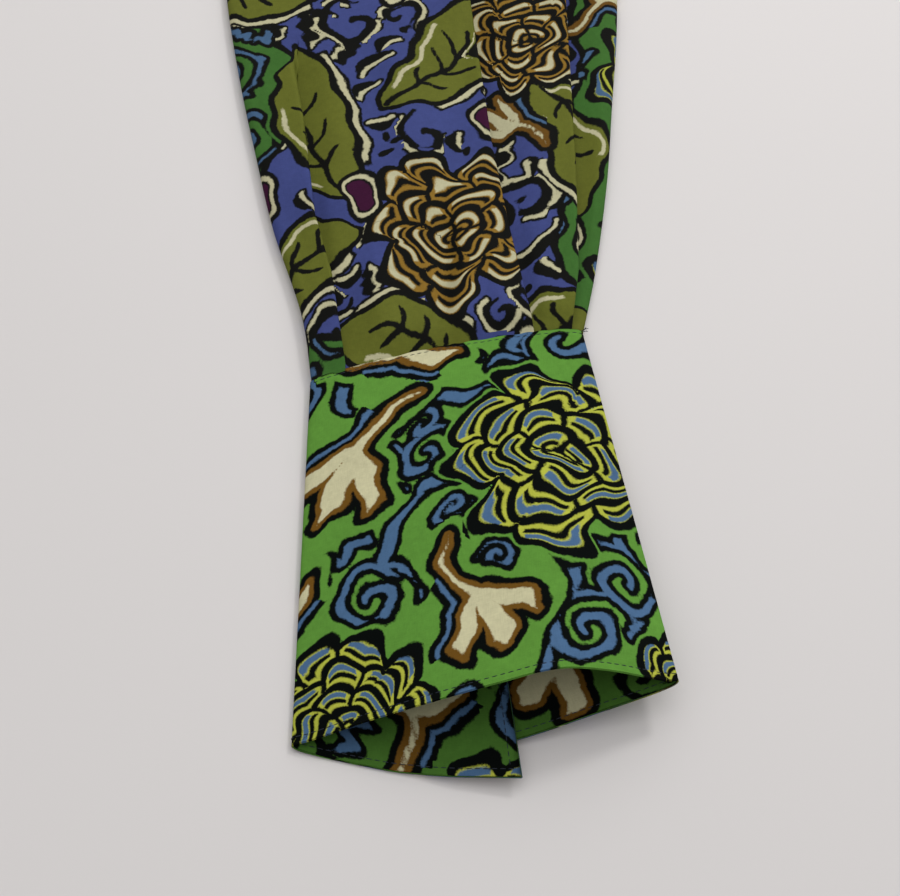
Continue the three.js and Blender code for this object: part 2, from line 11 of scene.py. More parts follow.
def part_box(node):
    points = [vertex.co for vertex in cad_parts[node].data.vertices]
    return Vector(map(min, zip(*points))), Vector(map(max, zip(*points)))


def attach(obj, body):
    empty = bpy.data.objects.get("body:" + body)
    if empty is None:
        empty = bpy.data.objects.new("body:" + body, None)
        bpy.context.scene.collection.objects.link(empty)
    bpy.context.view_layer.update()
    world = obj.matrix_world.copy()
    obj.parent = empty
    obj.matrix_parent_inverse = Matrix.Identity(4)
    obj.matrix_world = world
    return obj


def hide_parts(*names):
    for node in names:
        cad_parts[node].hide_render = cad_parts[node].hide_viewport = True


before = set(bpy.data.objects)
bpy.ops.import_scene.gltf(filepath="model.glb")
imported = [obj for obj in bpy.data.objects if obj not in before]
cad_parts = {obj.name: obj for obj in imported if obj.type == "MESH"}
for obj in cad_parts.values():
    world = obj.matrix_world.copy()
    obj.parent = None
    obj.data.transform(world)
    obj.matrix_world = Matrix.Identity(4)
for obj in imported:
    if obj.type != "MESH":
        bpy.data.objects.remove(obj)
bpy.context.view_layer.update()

# The tables and cloth functions are in millimetres, with y = 0 at the side neck points
mm = 0.001
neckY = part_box("back")[1].y / mm
sideName = {1: "left", -1: "right"}      # the wearer's, by the sign of x


def smooth(t):
    t = np.clip(t, 0, 1)
    return t * t * (3 - 2 * t)


def mix(a, b, t):
    return a + (b - a) * t


def unit(ways):
    return ways / np.maximum(np.linalg.norm(ways, axis=-1, keepdims=True), 1e-9)


# length along each row of points, from 0 at its first
def runLength(points):
    steps = np.linalg.norm(np.diff(points, axis=1), axis=-1)
    return np.concatenate((np.zeros((len(points), 1)), np.cumsum(steps, 1)), 1)


# one column of a table at row numbers that may lie between its rows, on a smooth curve
def columnAt(rows, column, place):
    values = np.array([row[column] for row in rows], float)
    last = len(values) - 1
    at = np.clip(place, 0, last)
    row = np.minimum(np.floor(at).astype(int), last - 1)
    t = at - row
    before, start = values[np.maximum(row - 1, 0)], values[row]
    end, after = values[row + 1], values[np.minimum(row + 2, last)]
    slopeStart = np.where(row > 0, (end - before) / 2, end - start)
    slopeEnd = np.where(row + 2 > last, end - start, (after - start) / 2)
    t2, t3 = t * t, t * t * t
    return ((2 * t3 - 3 * t2 + 1) * start + (t3 - 2 * t2 + t) * slopeStart
            + (3 * t2 - 2 * t3) * end + (t3 - t2) * slopeEnd)


# a slow wander of a surface, between about -1 and 1 and the same in every run
def wander(x, y, size, seed):
    a = x / size + 1.7 * seed
    b = y / size + 2.3 * seed
    return (np.sin(a * 2.1 + 0.7 * np.sin(b * 1.3)) + np.sin(b * 1.9 + 1.1 * np.sin(a * 0.8 + seed))
            + 0.6 * np.sin(a * 3.7 - b * 2.9)) / 2.6


# height of soft ridges at places on cloth: each runs from one place to another, sways a little,
# swells in over its first third, fades past its end and is steeper on one flank
ridge = {"sway": 0.12, "sways": 7, "swell": 0.3, "fade": 0.5, "steep": 0.72}


def ridges(x, y, rows):
    height = np.zeros(np.shape(x))
    for fromX, fromY, toX, toY, high, wide in rows:
        runX, runY = toX - fromX, toY - fromY
        length = math.hypot(runX, runY)
        share = ((x - fromX) * runX + (y - fromY) * runY) / length ** 2
        aside = ((x - fromX) * runY - (y - fromY) * runX) / length
        aside = aside + ridge["sway"] * wide * np.sin(share * ridge["sways"] + fromX)
        ends = smooth(share / ridge["swell"] + 0.35) * (1 - smooth((share - 0.6) / ridge["fade"]))
        lean = np.where(aside > 0, 1.0, ridge["steep"])
        height += high * ends * np.exp(-(aside / (wide * lean)) ** 2)
    return height


# The arm's own frame: u runs across to the upper-arm side and v up the arm
arm = {"lay": 70, "tipX": 205, "tipY": -42, "tipU": 92, "tipV": 525}
armAcross = np.array((math.cos(math.radians(arm["lay"])), math.sin(math.radians(arm["lay"]))))
armAlong = np.array((-armAcross[1], armAcross[0]))


def onArm(u, v, z, side=1):
    u, v, z = np.broadcast_arrays(np.asarray(u, float), v, z)
    x = arm["tipX"] + (u - arm["tipU"]) * armAcross[0] + (v - arm["tipV"]) * armAlong[0]
    y = arm["tipY"] + (u - arm["tipU"]) * armAcross[1] + (v - arm["tipV"]) * armAlong[1]
    return np.stack((x * side, y, z), -1)


# The camera looks down the arm from the cuff's end
camera = {"elevation": 57, "fieldOfView": 32, "distance": 645.5}


def setCamera():
    up = math.radians(camera["elevation"])
    reach = camera["distance"]
    aim = Vector(onArm(0, 0, 0))
    place = Vector(onArm(0, -reach * math.cos(up), reach * math.sin(up)))
    back = (place - aim).normalized()
    right = Vector((armAcross[0], armAcross[1], 0))
    top = back.cross(right)
    place = Vector((place.x, place.y + neckY, place.z)) * mm
    data = bpy.data.cameras.new("camera")
    data.angle = math.radians(camera["fieldOfView"])
    data.clip_start = 0.01
    eye = bpy.data.objects.new("camera", data)
    eye.matrix_world = Matrix((right, top, back)).transposed().to_4x4()
    eye.location = place
    bpy.context.scene.collection.objects.link(eye)
    bpy.context.scene.camera = eye


setCamera()
print("camera set")


# The print: a repeat of flat cloth with roses, leaves, buds, drops and curls on two grounds.
# Each shape is a field of distances in millimetres to its edge, below 0 inside it, and the
# finish draws the inks and their painted outlines from the fields.
printRepeat = {"width": 420, "height": 520}
fields = ("green", "leaf", "bud", "rose", "ring", "petal", "drop", "curl", "gate", "kind", "vein",
          "beside")
rosettes = [   # u, v, radius, kind (0 is ochre and cream, 1 lime and blue), seed
    (16, 86, 45, 0, 1.3), (64, 210, 39, 0, 4.1),
    (-196, -84, 42, 0, 2.2), (172, -188, 44, 0, 5.7),
    (30, -100, 47, 1, 0.6), (-58, -204, 38, 1, 3.3),
    (78, -214, 30, 1, 2.9), (-176, 74, 44, 1, 1.9),
    (160, 190, 46, 1, 2.4), (150, 60, 30, 1, 5.1),
]
leaves = [   # u, v, length, width, turn, bend
    (-50, 152, 104, 48, 112, 12), (2, 198, 92, 42, 58, -10), (88, 138, 92, 42, -64, 11),
    (-66, 62, 84, 38, 38, 9), (-8, 18, 76, 34, 165, -8), (-92, 232, 76, 34, 12, 9),
    (150, -108, 96, 44, 20, 12), (-196, -168, 98, 44, 142, -11), (-142, -34, 84, 38, 84, 9),
    (206, -30, 84, 38, -28, 9), (-142, -128, 78, 36, 62, 8), (84, 22, 74, 32, 30, 8),
]
buds = [   # u, v, size, turn
    (-56, -84, 40, 242), (-6, -166, 34, 305), (84, -44, 36, 100), (22, -232, 36, 20),
    (-92, -150, 34, 80), (94, -148, 34, 215), (-150, 146, 38, 130), (196, 108, 38, 320),
    (-120, 30, 34, 210), (118, 238, 34, 60), (200, 236, 36, 190), (-196, 216, 38, 20),
    (-34, -30, 34, 15), (60, 152, 26, 150),
]
drops = [   # u, v, size
    (-30, 108, 9), (48, 20, 9), (-96, 108, 10), (28, 152, 8), (-84, 20, 9), (-20, 246, 9),
    (104, 84, 10), (196, -136, 9), (-150, -200, 9), (120, -60, 9), (-110, -70, 9),
]
# gap is the ground left between curls, and room is a curl's own reach as a share of its size.
# A line runs beside each curl, off its edge. On the green a curl is drawn larger.
curls = {"seed": 7, "tries": 2000, "gap": 0.2, "room": 0.66,
         "sizes": (20, 17.5, 15, 12.5, 10, 8, 6, 4.2),
         "spiralOver": 6.5, "blotUpTo": 5, "spirals": 0.6, "commas": 0.82,
         "spiralHalf": 1.45, "commaHalf": 1.8, "waveHalf": 1.5,
         "lineOff": 1.6, "lineHalf": 1.9, "moreOnGreen": 2.2, "moreOnBlue": 0.3}
leafShape = {"plump": 0.75, "lean": 0.28, "ruffle": 0.05, "ruffles": 7,
             "veinsAt": (-0.5, -0.2, 0.1), "veinLean": 0.018, "veinTo": 0.55}
# rings as shares of the radius and counts of petals, the outermost first
roseShape = {"rings": ((1.0, 9), (0.74, 7), (0.50, 5), (0.26, 3)), "least": 0.78, "lobe": 0.24,
             "blunt": 0.7, "uneven": 0.07, "ringTurn": 0.9, "twist": 0.35, "ringGap": 0.06,
             "outerRing": 0.26, "crown": 0.66}
# clear ground kept round each motif
clear = {"leaf": 4, "rose": 4, "bud": 8, "budOnLeaf": 4, "drop": 6}
# the sways of a hand in every line: far and slow, then near and quick
brush = {"sway": 1.6, "shake": 1.0, "furthest": 30.0}


def wrapped(value, period):
    return (value + period / 2) % period - period / 2


# distance to a stroke that runs through the points of a path, with its half widths
def stroke(x, y, path, halfWidths):
    best = np.full(x.shape, 1e3)
    for a, b, wa, wb in zip(path[:-1], path[1:], halfWidths[:-1], halfWidths[1:]):
        dx, dy = b[0] - a[0], b[1] - a[1]
        t = np.clip(((x - a[0]) * dx + (y - a[1]) * dy) / (dx * dx + dy * dy + 1e-9), 0, 1)
        best = np.minimum(best, np.hypot(x - a[0] - t * dx, y - a[1] - t * dy) - (wa + (wb - wa) * t))
    return best


def turned(x, y, degrees):
    c, s = math.cos(math.radians(degrees)), math.sin(math.radians(degrees))
    return x * c + y * s, -x * s + y * c


class Print:
    def __init__(self, u, v):
        sway, shake = brush["sway"], brush["shake"]
        self.u = u + sway * np.sin(v / 8.3) + shake * np.sin(v / 3.1 + u / 11)
        self.v = v + sway * np.sin(u / 7.7) + shake * np.sin(u / 2.9 - v / 13)
        self.field = {name: np.full(u.shape, brush["furthest"]) for name in fields}

    def near(self, u, v, reach):
        x = wrapped(self.u - u, printRepeat["width"])
        y = wrapped(self.v - v, printRepeat["height"])
        spots = np.nonzero((np.abs(x) < reach) & (np.abs(y) < reach))[0]
        return spots, x[spots], y[spots]

    def lay(self, name, spots, distance):
        self.field[name][spots] = np.minimum(self.field[name][spots], distance)

    def put(self, name, spots, where, values):
        values = np.broadcast_to(values, spots.shape)
        self.field[name][spots[where]] = values[where]

    # takes away what another motif has there
    def keepOff(self, name, spots, distance):
        self.field[name][spots] = np.maximum(self.field[name][spots], -distance)


# above 0 on the blue ground and below 0 on the green
def groundShape(u, v):
    a = 2 * math.pi * u / printRepeat["width"]
    b = 2 * math.pi * v / printRepeat["height"]
    return (np.cos(a) * np.sin(b) + 0.22 * np.sin(2 * a + 0.8) + 0.16 * np.sin(3 * b + a)
            + 0.14 * np.cos(4 * a - 2 * b) + 0.1)


def layGround(cloth):
    here = groundShape(cloth.u, cloth.v)
    slopeU = groundShape(cloth.u + 1, cloth.v) - here
    slopeV = groundShape(cloth.u, cloth.v + 1) - here
    cloth.field["green"] = here / np.maximum(np.hypot(slopeU, slopeV), 0.006)


def layLeaf(cloth, u, v, length, width, turn, bend):
    spots, x, y = cloth.near(u, v, length * 0.68)
    s, t = turned(x, y, turn)
    s = s / (length / 2)
    t = t - bend * (1 - s * s)
    ruffle = 1 + leafShape["ruffle"] * np.sin(leafShape["ruffles"] * s)
    half = width / 2 * np.clip(1 - s * s, 0, 1) ** leafShape["plump"] \
        * (1 + leafShape["lean"] * s) * ruffle
    tip = np.hypot((np.abs(s) - 1) * length / 2, t)
    edge = np.where(np.abs(s) < 1, np.abs(t) - half, tip)
    cloth.keepOff("curl", spots, edge - clear["leaf"])
    cloth.lay("leaf", spots, edge)
    # the cream lines inside and beside the leaf each run along a part of one side
    inside = np.maximum(-t, np.abs(s + 0.15) * 30 - 17)
    beside = np.maximum(t, np.abs(s - 0.1) * 30 - 21)
    cloth.put("gate", spots, edge < 8, np.where(edge < 0, inside, beside))
    # a middle vein and short side veins that leave it
    vein = np.abs(t) + np.maximum(s - 0.5, 0) * length / 2
    for at in leafShape["veinsAt"]:
        branch = np.abs(s - at - np.abs(t) * leafShape["veinLean"]) * length / 2
        vein = np.minimum(vein, branch + np.maximum(np.abs(t) - half * leafShape["veinTo"], 0))
    cloth.put("vein", spots, edge < 2, vein)


def layRosette(cloth, u, v, radius, kind, seed):
    spots, x, y = cloth.near(u, v, radius * 1.4)
    x = x + 2.8 * np.sin(y / 6.5 + seed) + 1.3 * np.sin(y / 3.3 + 3 * seed)
    y = y + 2.8 * np.sin(x / 7.1 + 2 * seed) + 1.3 * np.sin(x / 3.7 + seed)
    r = np.hypot(x, y) + 1e-6
    a = np.arctan2(y, x)
    rings = roseShape["rings"]
    for k, (share, petals) in enumerate(rings):
        turn = petals / 2 * (a + seed + roseShape["ringTurn"] * k) \
            + roseShape["twist"] * np.sin(2 * a + seed)
        lobe = np.abs(np.sin(turn))
        ring = radius * share * (roseShape["least"] + roseShape["lobe"] * lobe ** roseShape["blunt"]
                                 + roseShape["uneven"] * np.sin(3 * a + seed + k))
        if k == 0:
            edge = r - ring
            phase = -edge / (radius * roseShape["outerRing"])
        else:
            ring = np.minimum(ring, outer - radius * roseShape["ringGap"])
            phase = np.where(r < outer, k - 1 + (outer - r) / (outer - ring), phase)
        fromCrown = np.arccos(np.clip(lobe, 0, 1)) * 2 / petals * r
        own = fromCrown - roseShape["crown"] * math.pi / petals * r
        side = np.sin(turn) * 2 / petals * r
        if k == 0:
            petal, gate = side, own
        else:
            petal = np.where(r < ring, side, petal)
            gate = np.where(r < ring, own, gate)
        outer = ring
    phase = np.where(r < outer, len(rings) - 1 + (outer - r) / outer, phase)
    cloth.keepOff("curl", spots, edge - clear["rose"])
    cloth.keepOff("leaf", spots, edge)
    cloth.lay("rose", spots, edge)
    near = edge < 4
    for name, values in (("ring", phase), ("petal", petal), ("gate", gate), ("kind", kind)):
        cloth.put(name, spots, near, values)


budStrokes = (      # three petals and the stalk, each as its path and half widths
    (((-0.1, 0), (0.2, 0.02), (0.5, 0.0), (0.72, -0.05)), (0.05, 0.16, 0.15, 0.03)),
    (((-0.1, 0), (0.1, 0.22), (0.34, 0.38), (0.58, 0.42)), (0.05, 0.12, 0.11, 0.02)),
    (((-0.1, 0), (0.1, -0.22), (0.30, -0.40), (0.56, -0.48)), (0.05, 0.12, 0.12, 0.02)),
    (((-0.1, 0), (-0.4, -0.03), (-0.68, 0.06), (-0.92, 0.24)), (0.07, 0.055, 0.05, 0.025)),
)


def layBud(cloth, u, v, size, turn):
    spots, x, y = cloth.near(u, v, size * 1.15)
    s, t = turned(x / size, y / size, turn)
    whole = np.minimum.reduce([stroke(s, t, path, widths) * size for path, widths in budStrokes])
    cloth.keepOff("curl", spots, whole - clear["bud"])
    cloth.keepOff("leaf", spots, whole - clear["budOnLeaf"])
    cloth.lay("bud", spots, whole)
    fringe = np.maximum(t + 0.05 * np.sin(9 * s), np.abs(s + 0.15) - 0.42) * size
    cloth.put("gate", spots, whole < 9, fringe)


def layDrop(cloth, u, v, size):
    spots, x, y = cloth.near(u, v, size * 2.6)
    edge = np.hypot(x * 1.25, y * 0.8) - size * (0.8 + 0.1 * np.sin(3 * np.arctan2(y, x)))
    cloth.keepOff("curl", spots, edge - clear["drop"])
    cloth.lay("drop", spots, edge)


# places for curls in the ground that the large motifs leave, the largest first
def curlPlaces():
    draw = np.random.default_rng(curls["seed"])
    width, height = printRepeat["width"], printRepeat["height"]
    taken = [(u, v, radius * 0.96) for u, v, radius, *_ in rosettes]
    taken += [(u, v, size * 1.6) for u, v, size in drops]

    def take(u, v, turn, spots):
        for x, y, reach in spots:
            x, y = turned(x, y, -turn)
            taken.append((u + x, v + y, reach))

    for u, v, length, leafWidth, turn, bend in leaves:
        take(u, v, turn, [(s * length / 2, bend * (1 - s * s), leafWidth * share + 1) for s, share in
                          ((-0.8, 0.3), (-0.45, 0.5), (0, 0.6), (0.45, 0.55), (0.8, 0.35))])
    for u, v, size, turn in buds:
        take(u, v, turn, [(x * size, y * size, share * size + 3) for x, y, share in
                          ((0.35, 0, 0.5), (0.35, 0.32, 0.2), (0.3, -0.35, 0.22), (-0.3, 0, 0.16),
                           (-0.6, 0.05, 0.16), (-0.85, 0.2, 0.14), (-0.2, -0.5, 0.2))])
    found = []
    for size in curls["sizes"]:
        for _ in range(curls["tries"]):
            u, v = draw.uniform(-width / 2, width / 2), draw.uniform(-height / 2, height / 2)
            kind, turn, hand = draw.random(), draw.uniform(0, 360), draw.choice((-1, 1))
            spots = np.array(taken)
            apart = np.hypot(wrapped(spots[:, 0] - u, width), wrapped(spots[:, 1] - v, height))
            if (apart - spots[:, 2]).min() > size * curls["room"] + curls["gap"]:
                taken.append((u, v, size * curls["room"]))
                found.append((u, v, size, kind, turn, hand))
    return found


def layCurl(cloth, u, v, size, kind, turn, hand):
    spots, x, y = cloth.near(u, v, size * 1.6)
    if not len(spots):
        return
    x, y = turned(x, y, turn)
    y = y * hand
    thick = 0.85 + 0.5 * size / 16
    lineOff, lineHalf = curls["lineOff"], curls["lineHalf"]
    if size > curls["spiralOver"] and kind < curls["spirals"]:     # opens to a tail
        half = curls["spiralHalf"] * thick
        turns = np.linspace(0.6, (1.1 + 1.0 * kind) * 2 * math.pi, 22)
        reach = size * (0.12 + 0.84 * (turns / turns[-1]) ** 1.15)
        taper = np.sin(np.linspace(0.55, 3.0, 22)) ** 0.6
        path = np.stack((reach * np.cos(turns), reach * np.sin(turns)), 1)
        shape = stroke(x, y, path, half * taper)
        outside = reach + half + lineOff
        beside = np.stack((outside * np.cos(turns), outside * np.sin(turns)), 1)
        gate = stroke(x, y, beside[7:-2], np.full(22, lineHalf))
    elif size > curls["blotUpTo"] and kind < curls["commas"]:      # a bent comma
        half = curls["commaHalf"] * thick
        turns = np.linspace(-1.25, 1.25, 9)
        path = np.stack((size * 0.95 * np.sin(turns), size * 0.75 * (np.cos(turns) - 0.6)), 1)
        taper = np.array((0.25, 0.6, 0.95, 1.15, 1.2, 1.05, 0.8, 0.5, 0.2))
        shape = stroke(x, y, path, half * taper)
        gate = stroke(x, y, path[1:-1] + (0, -half - lineOff), np.full(9, lineHalf))
    elif size > curls["blotUpTo"]:     # a wavering stroke
        half = curls["waveHalf"] * thick
        across = np.linspace(-1, 1, 7) * size * 0.9
        path = np.stack((across, size * 0.36 * np.array((0.2, 1, -0.4, 0.5, -1, 0.1, -0.4))), 1)
        taper = np.array((0.3, 0.9, 1.1, 0.9, 1.2, 0.8, 0.3))
        shape = stroke(x, y, path, half * taper)
        gate = stroke(x, y, path + (0, -half - lineOff), np.full(7, lineHalf))
    else:                              # a blot
        shape = np.hypot(x, y * 1.5) - size * curls["room"]
        gate = np.full(x.shape, brush["furthest"])
    onGreen = cloth.field["green"][spots] < 0
    shape = shape - np.where(onGreen, curls["moreOnGreen"], curls["moreOnBlue"])
    nearest = shape < cloth.field["curl"][spots]
    cloth.put("beside", spots, nearest & (shape < 7), gate)
    cloth.lay("curl", spots, shape)


# what is laid over what
motifs = ((layCurl, curlPlaces()), (layDrop, drops), (layLeaf, leaves), (layBud, buds),
          (layRosette, rosettes))


def printFields(u, v):
    cloth = Print(np.ravel(u), np.ravel(v))
    layGround(cloth)
    for layMotif, rows in motifs:
        for row in rows:
            layMotif(cloth, *row)
    return cloth.field


# faces of a grid of points with rows and stations
def gridFaces(rows, stations, ring=False):
    j, i = np.meshgrid(np.arange(rows - 1), np.arange(stations - (0 if ring else 1)), indexing="ij")
    a = j * stations + i
    b = j * stations + (i + 1) % stations
    return np.stack((a, b, b + stations, a + stations), -1).reshape(-1, 4)


def normalsOf(points, ring=False):
    if ring:
        acrossWay = np.roll(points, -1, 1) - np.roll(points, 1, 1)
    else:
        acrossWay = np.gradient(points, axis=1)
    alongWay = np.gradient(points, axis=0)
    return unit(np.cross(acrossWay, alongWay))


# A smooth mesh object on the one body, from points in millimetres
def meshObject(name, points, faces):
    mesh = bpy.data.meshes.new(name)
    mesh.from_pydata(((points + (0, neckY, 0)) * mm).tolist(), [], faces)
    mesh.polygons.foreach_set("use_smooth", np.ones(len(mesh.polygons), bool))
    return ridingObject(name, mesh)


def ridingObject(name, mesh):
    piece = bpy.data.objects.new(name, mesh)
    bpy.context.scene.collection.objects.link(piece)
    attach(piece, "root")
    return piece


# A piece of cloth, whose flat places as u and v carry the print
def clothObject(name, points, faces, flat):
    flat = np.asarray(flat, float).reshape(-1, 2)
    piece = meshObject(name, np.asarray(points, float).reshape(-1, 3), faces)
    mesh = piece.data
    field = printFields(flat[:, 0], flat[:, 1])
    far = brush["furthest"]
    for k in range(0, len(fields), 3):
        attribute = mesh.attributes.new("print" + "ABCD"[k // 3], "FLOAT_VECTOR", "POINT")
        values = np.stack([np.clip(field[name], -far, far) for name in fields[k:k + 3]], 1)
        attribute.data.foreach_set("vector", values.astype(np.float32).ravel())
    corners = np.zeros(len(mesh.loops), np.int32)
    mesh.loops.foreach_get("vertex_index", corners)
    layer = mesh.uv_layers.new(name="cloth")
    layer.data.foreach_set("uv", (flat[corners] * mm).astype(np.float32).ravel())
    print(name, len(mesh.polygons), "faces")
    return piece


# A single layer of cloth whose open edges are turned under or tucked into a seam
def layerObject(name, points, flat, ring=False):
    rows, stations = points.shape[:2]
    faces = gridFaces(rows, stations, ring)
    normal = normalsOf(points, ring)
    if ring:
        middle = points.mean(1, keepdims=True)
        inward = ((points - middle) * normal).sum() < 0
    else:
        inward = normal[..., 2].mean() < 0
    if inward:
        faces = faces[:, ::-1]
    return clothObject(name, points, faces.tolist(), flat)


doubled = {"roll": 0.42, "innerPlace": (204, 30)}


# A wall of doubled cloth round a grid of points, its edges rolled. The inner face is cut from
# another place of the print.
def wallObject(name, points, flat, wall, facing=-1):
    rows, stations = points.shape[:2]
    normal = normalsOf(points) * facing
    halves = [points + normal * wall / 2, points - normal * wall / 2]
    roll = wall * doubled["roll"]

    def rim(edge, inside):
        return edge + unit(edge - inside) * roll

    rims = [rim(points[0], points[1]), rim(points[-1], points[-2]),
            rim(points[:, 0], points[:, 1]), rim(points[:, -1], points[:, -2])]
    perSide = rows * stations
    face = gridFaces(rows, stations)
    faces = face.tolist() + (face[:, ::-1] + perSide).tolist()
    top = np.arange(stations)
    bottom = top + (rows - 1) * stations
    left = np.arange(rows) * stations
    right = left + stations - 1
    start = 2 * perSide
    starts = []
    for edge, reverse in ((top, True), (bottom, False), (left, False), (right, True)):
        own = start + np.arange(len(edge))
        starts.append(own)
        start += len(edge)
        for first, second in ((edge, own), (own, edge + perSide)):
            quads = np.stack((first[:-1], first[1:], second[1:], second[:-1]), 1)
            faces += (quads if reverse else quads[:, ::-1]).tolist()
    corners = ((0, starts[0][0], starts[2][0]), (stations - 1, starts[3][0], starts[0][-1]),
               (perSide - stations, starts[2][-1], starts[1][0]),
               (perSide - 1, starts[1][-1], starts[3][-1]))
    for edge, first, second in corners:
        faces.append([edge, first, second])
        faces.append([edge + perSide, second, first])
    allPoints = np.concatenate([half.reshape(-1, 3) for half in halves] + rims)
    flatRims = [flat[0], flat[-1], flat[:, 0], flat[:, -1]]
    outerFlat = flat.reshape(-1, 2)
    innerFlat = outerFlat * (-1, 1) + doubled["innerPlace"]
    allFlat = np.concatenate([outerFlat, innerFlat] + flatRims)
    piece = clothObject(name, allPoints, faces, allFlat)
    inner = np.zeros(len(allPoints), np.float32)
    inner[perSide:2 * perSide] = 1
    piece.data.attributes.new("inner", "FLOAT", "POINT").data.foreach_set("value", inner)
    turnOutwards(piece)
    return piece


# turns a closed mesh right side out by the sign of its volume
def turnOutwards(piece):
    mesh = piece.data
    mesh.calc_loop_triangles()
    co = np.zeros(len(mesh.vertices) * 3, np.float32)
    mesh.vertices.foreach_get("co", co)
    co = co.reshape(-1, 3).astype(float)
    co -= co.mean(0)
    tri = np.zeros(len(mesh.loop_triangles) * 3, np.int32)
    mesh.loop_triangles.foreach_get("vertices", tri)
    a, b, c = (co[tri.reshape(-1, 3)[:, k]] for k in range(3))
    if (a * np.cross(b, c)).sum() < 0:
        mesh.flip_normals()


# The sleeves
sleeve = {
    "rows": [   # under u, under v, upper u, upper v, rise, bow
        (-58, 29.4, 57, 56, 5.7, 5), (-64.5, 67, 64.4, 92, 5.7, 1),
        (-79.6, 115, 72, 142, 5.7, 0), (-90.2, 159, 77, 190, 5.7, 0),
        (-101, 207, 82.5, 245, 5.7, 0), (-112, 266, 86, 310, 5.7, 0),
        (-120, 330, 90, 410, 4.2, 8), (-126, 395, 92, 525, 2.1, 18)],
    "edge": 5.0, "seamEdge": 3.0, "low": 0.45, "upperClear": 1.4, "foldClear": 1.2,
    "puff": 3.0, "puffReach": 15, "crown": 0.9,
    "seamBend": 0.35, "bend": 1.1, "openBend": 1.5, "bendReach": 12, "backBend": 0.55,
    "recovery": 17, "frontLift": 0.35, "grainU": -10, "edgePoints": 14,
    "flatAtSeam": 16, "flatAtBody": 1.6, "waver": 0.45, "waverSize": 26,
    "pucker": 0.22, "puckerReach": 7, "puckerPitch": 1.25, "puckerSway": 5.3,
    "tuckedFrom": (-3, -1.5), "tuckedSlide": (-3.2, -1.5), "tuckedHeight": (0.7, 0.84),
    "underBody": (1.4, 2.8), "seamStep": 0.7, "puffShare": 0.8,
}
frontPleats = [
    {"depth": 8, "foldedTo": 196, "goneBy": 240, "liftReach": 8,
     "line": ((38, -44), (86, -51.6), (121, -60.7), (180, -68.7), (240, -80))},
    {"depth": 12, "foldedTo": 275, "goneBy": 325, "liftReach": 12,
     "line": ((55, 36), (114, 26.3), (164, 19.5), (259, 10.4), (340, 5))},
    {"depth": 5, "foldedTo": 288, "goneBy": 338, "liftReach": 8,
     "line": ((56, 52), (89, 56.5), (149, 57.9), (262, 57.8), (340, 57))},
]
backPleats = [
    {"depth": 10, "foldedTo": 138, "goneBy": 182, "share": 0.57},
    {"depth": 10, "foldedTo": 110, "goneBy": 160, "share": 0.36},
]
# soft ridges of the upper layer in u and v: from, to, height, width
sleeveRidges = {
    "left": [(-26, 46, -36, 128, 2.0, 8), (8, 50, 4, 150, 2.2, 8), (24, 54, 16, 112, 1.8, 6),
             (-5, 52, -1, 124, -3.0, 5), (42, 56, 36, 128, 1.8, 6), (-12, 150, -40, 262, 2.4, 12),
             (44, 130, 38, 240, 2.2, 10), (68, 96, 70, 200, 1.8, 7), (-70, 120, -92, 214, 1.8, 8),
             (-52, 42, -64, 100, 1.6, 5), (6, 190, 14, 280, -2.0, 9), (-48, 60, -58, 170, 1.5, 6),
             (-30, 300, 40, 380, 5, 24), (-60, 360, 60, 470, 6, 26), (40, 330, 70, 450, 4, 20)],
    "right": [(-30, 46, -36, 118, 1.4, 9), (10, 50, 2, 160, 1.5, 11), (44, 56, 38, 138, 1.2, 8),
              (-20, 170, -50, 280, 2.2, 16), (40, 150, 44, 260, 1.8, 13), (-70, 130, -88, 226, 1.2, 8),
              (-50, 300, 30, 372, 5, 22), (-40, 350, 70, 480, 6, 28), (30, 320, 74, 420, 4, 18)],
}


class Section:     # the sleeve laid flat along lines across it, one for each ring
    def __init__(self, place, slide):
        value = [columnAt(sleeve["rows"], k, place) for k in range(6)]
        self.start = np.stack(value[0:2], 1)
        self.chord = np.stack(value[2:4], 1) - self.start
        self.width = np.hypot(*self.chord.T)
        self.way = np.stack((-self.chord[:, 1], self.chord[:, 0]), 1) / self.width[:, None]
        self.rise, self.bow = value[4], value[5]
        self.start = self.start + self.way * slide[:, None]

    def pointAt(self, run):
        share = (run / self.width[:, None])[..., None]
        bow = (self.bow[:, None] * 4)[..., None] * share * (1 - share)
        return self.start[:, None] + self.chord[:, None] * share + self.way[:, None] * bow


# where a pleat lies in each ring, and how far it is closed there
def pleatIn(pleat, section, fromSeam):
    run = pleat.get("share", 0.5) * section.width
    for _ in range(8):
        if "line" in pleat:
            here = section.pointAt(run[:, None])[:, 0]
            line = np.array(pleat["line"], float)
            run = run + np.interp(here[:, 1], line[:, 0], line[:, 1]) - here[:, 0]
    alongArm = section.pointAt(run[:, None])[:, 0, 1]
    cuffEnd = sleeve["rows"][0][1]
    folded = np.clip((alongArm - cuffEnd) / (pleat["foldedTo"] - cuffEnd), 0, 1)
    closed = 1 - smooth((alongArm - pleat["foldedTo"]) / (pleat["goneBy"] - pleat["foldedTo"]))
    near = smooth(fromSeam / sleeve["bendReach"])
    bend = mix(sleeve["seamBend"], mix(sleeve["bend"], sleeve["openBend"], folded), near)
    return {"run": run, "turn": math.pi * closed, "closed": closed, "bend": bend,
            "length": mix(pleat["depth"], 2, folded) * closed, "reach": pleat.get("liftReach", 8)}


foldSteps = {"arc": 6, "spread": 0.45, "crowd": 0.06}
foldPoints = 2 * foldSteps["arc"] + 2


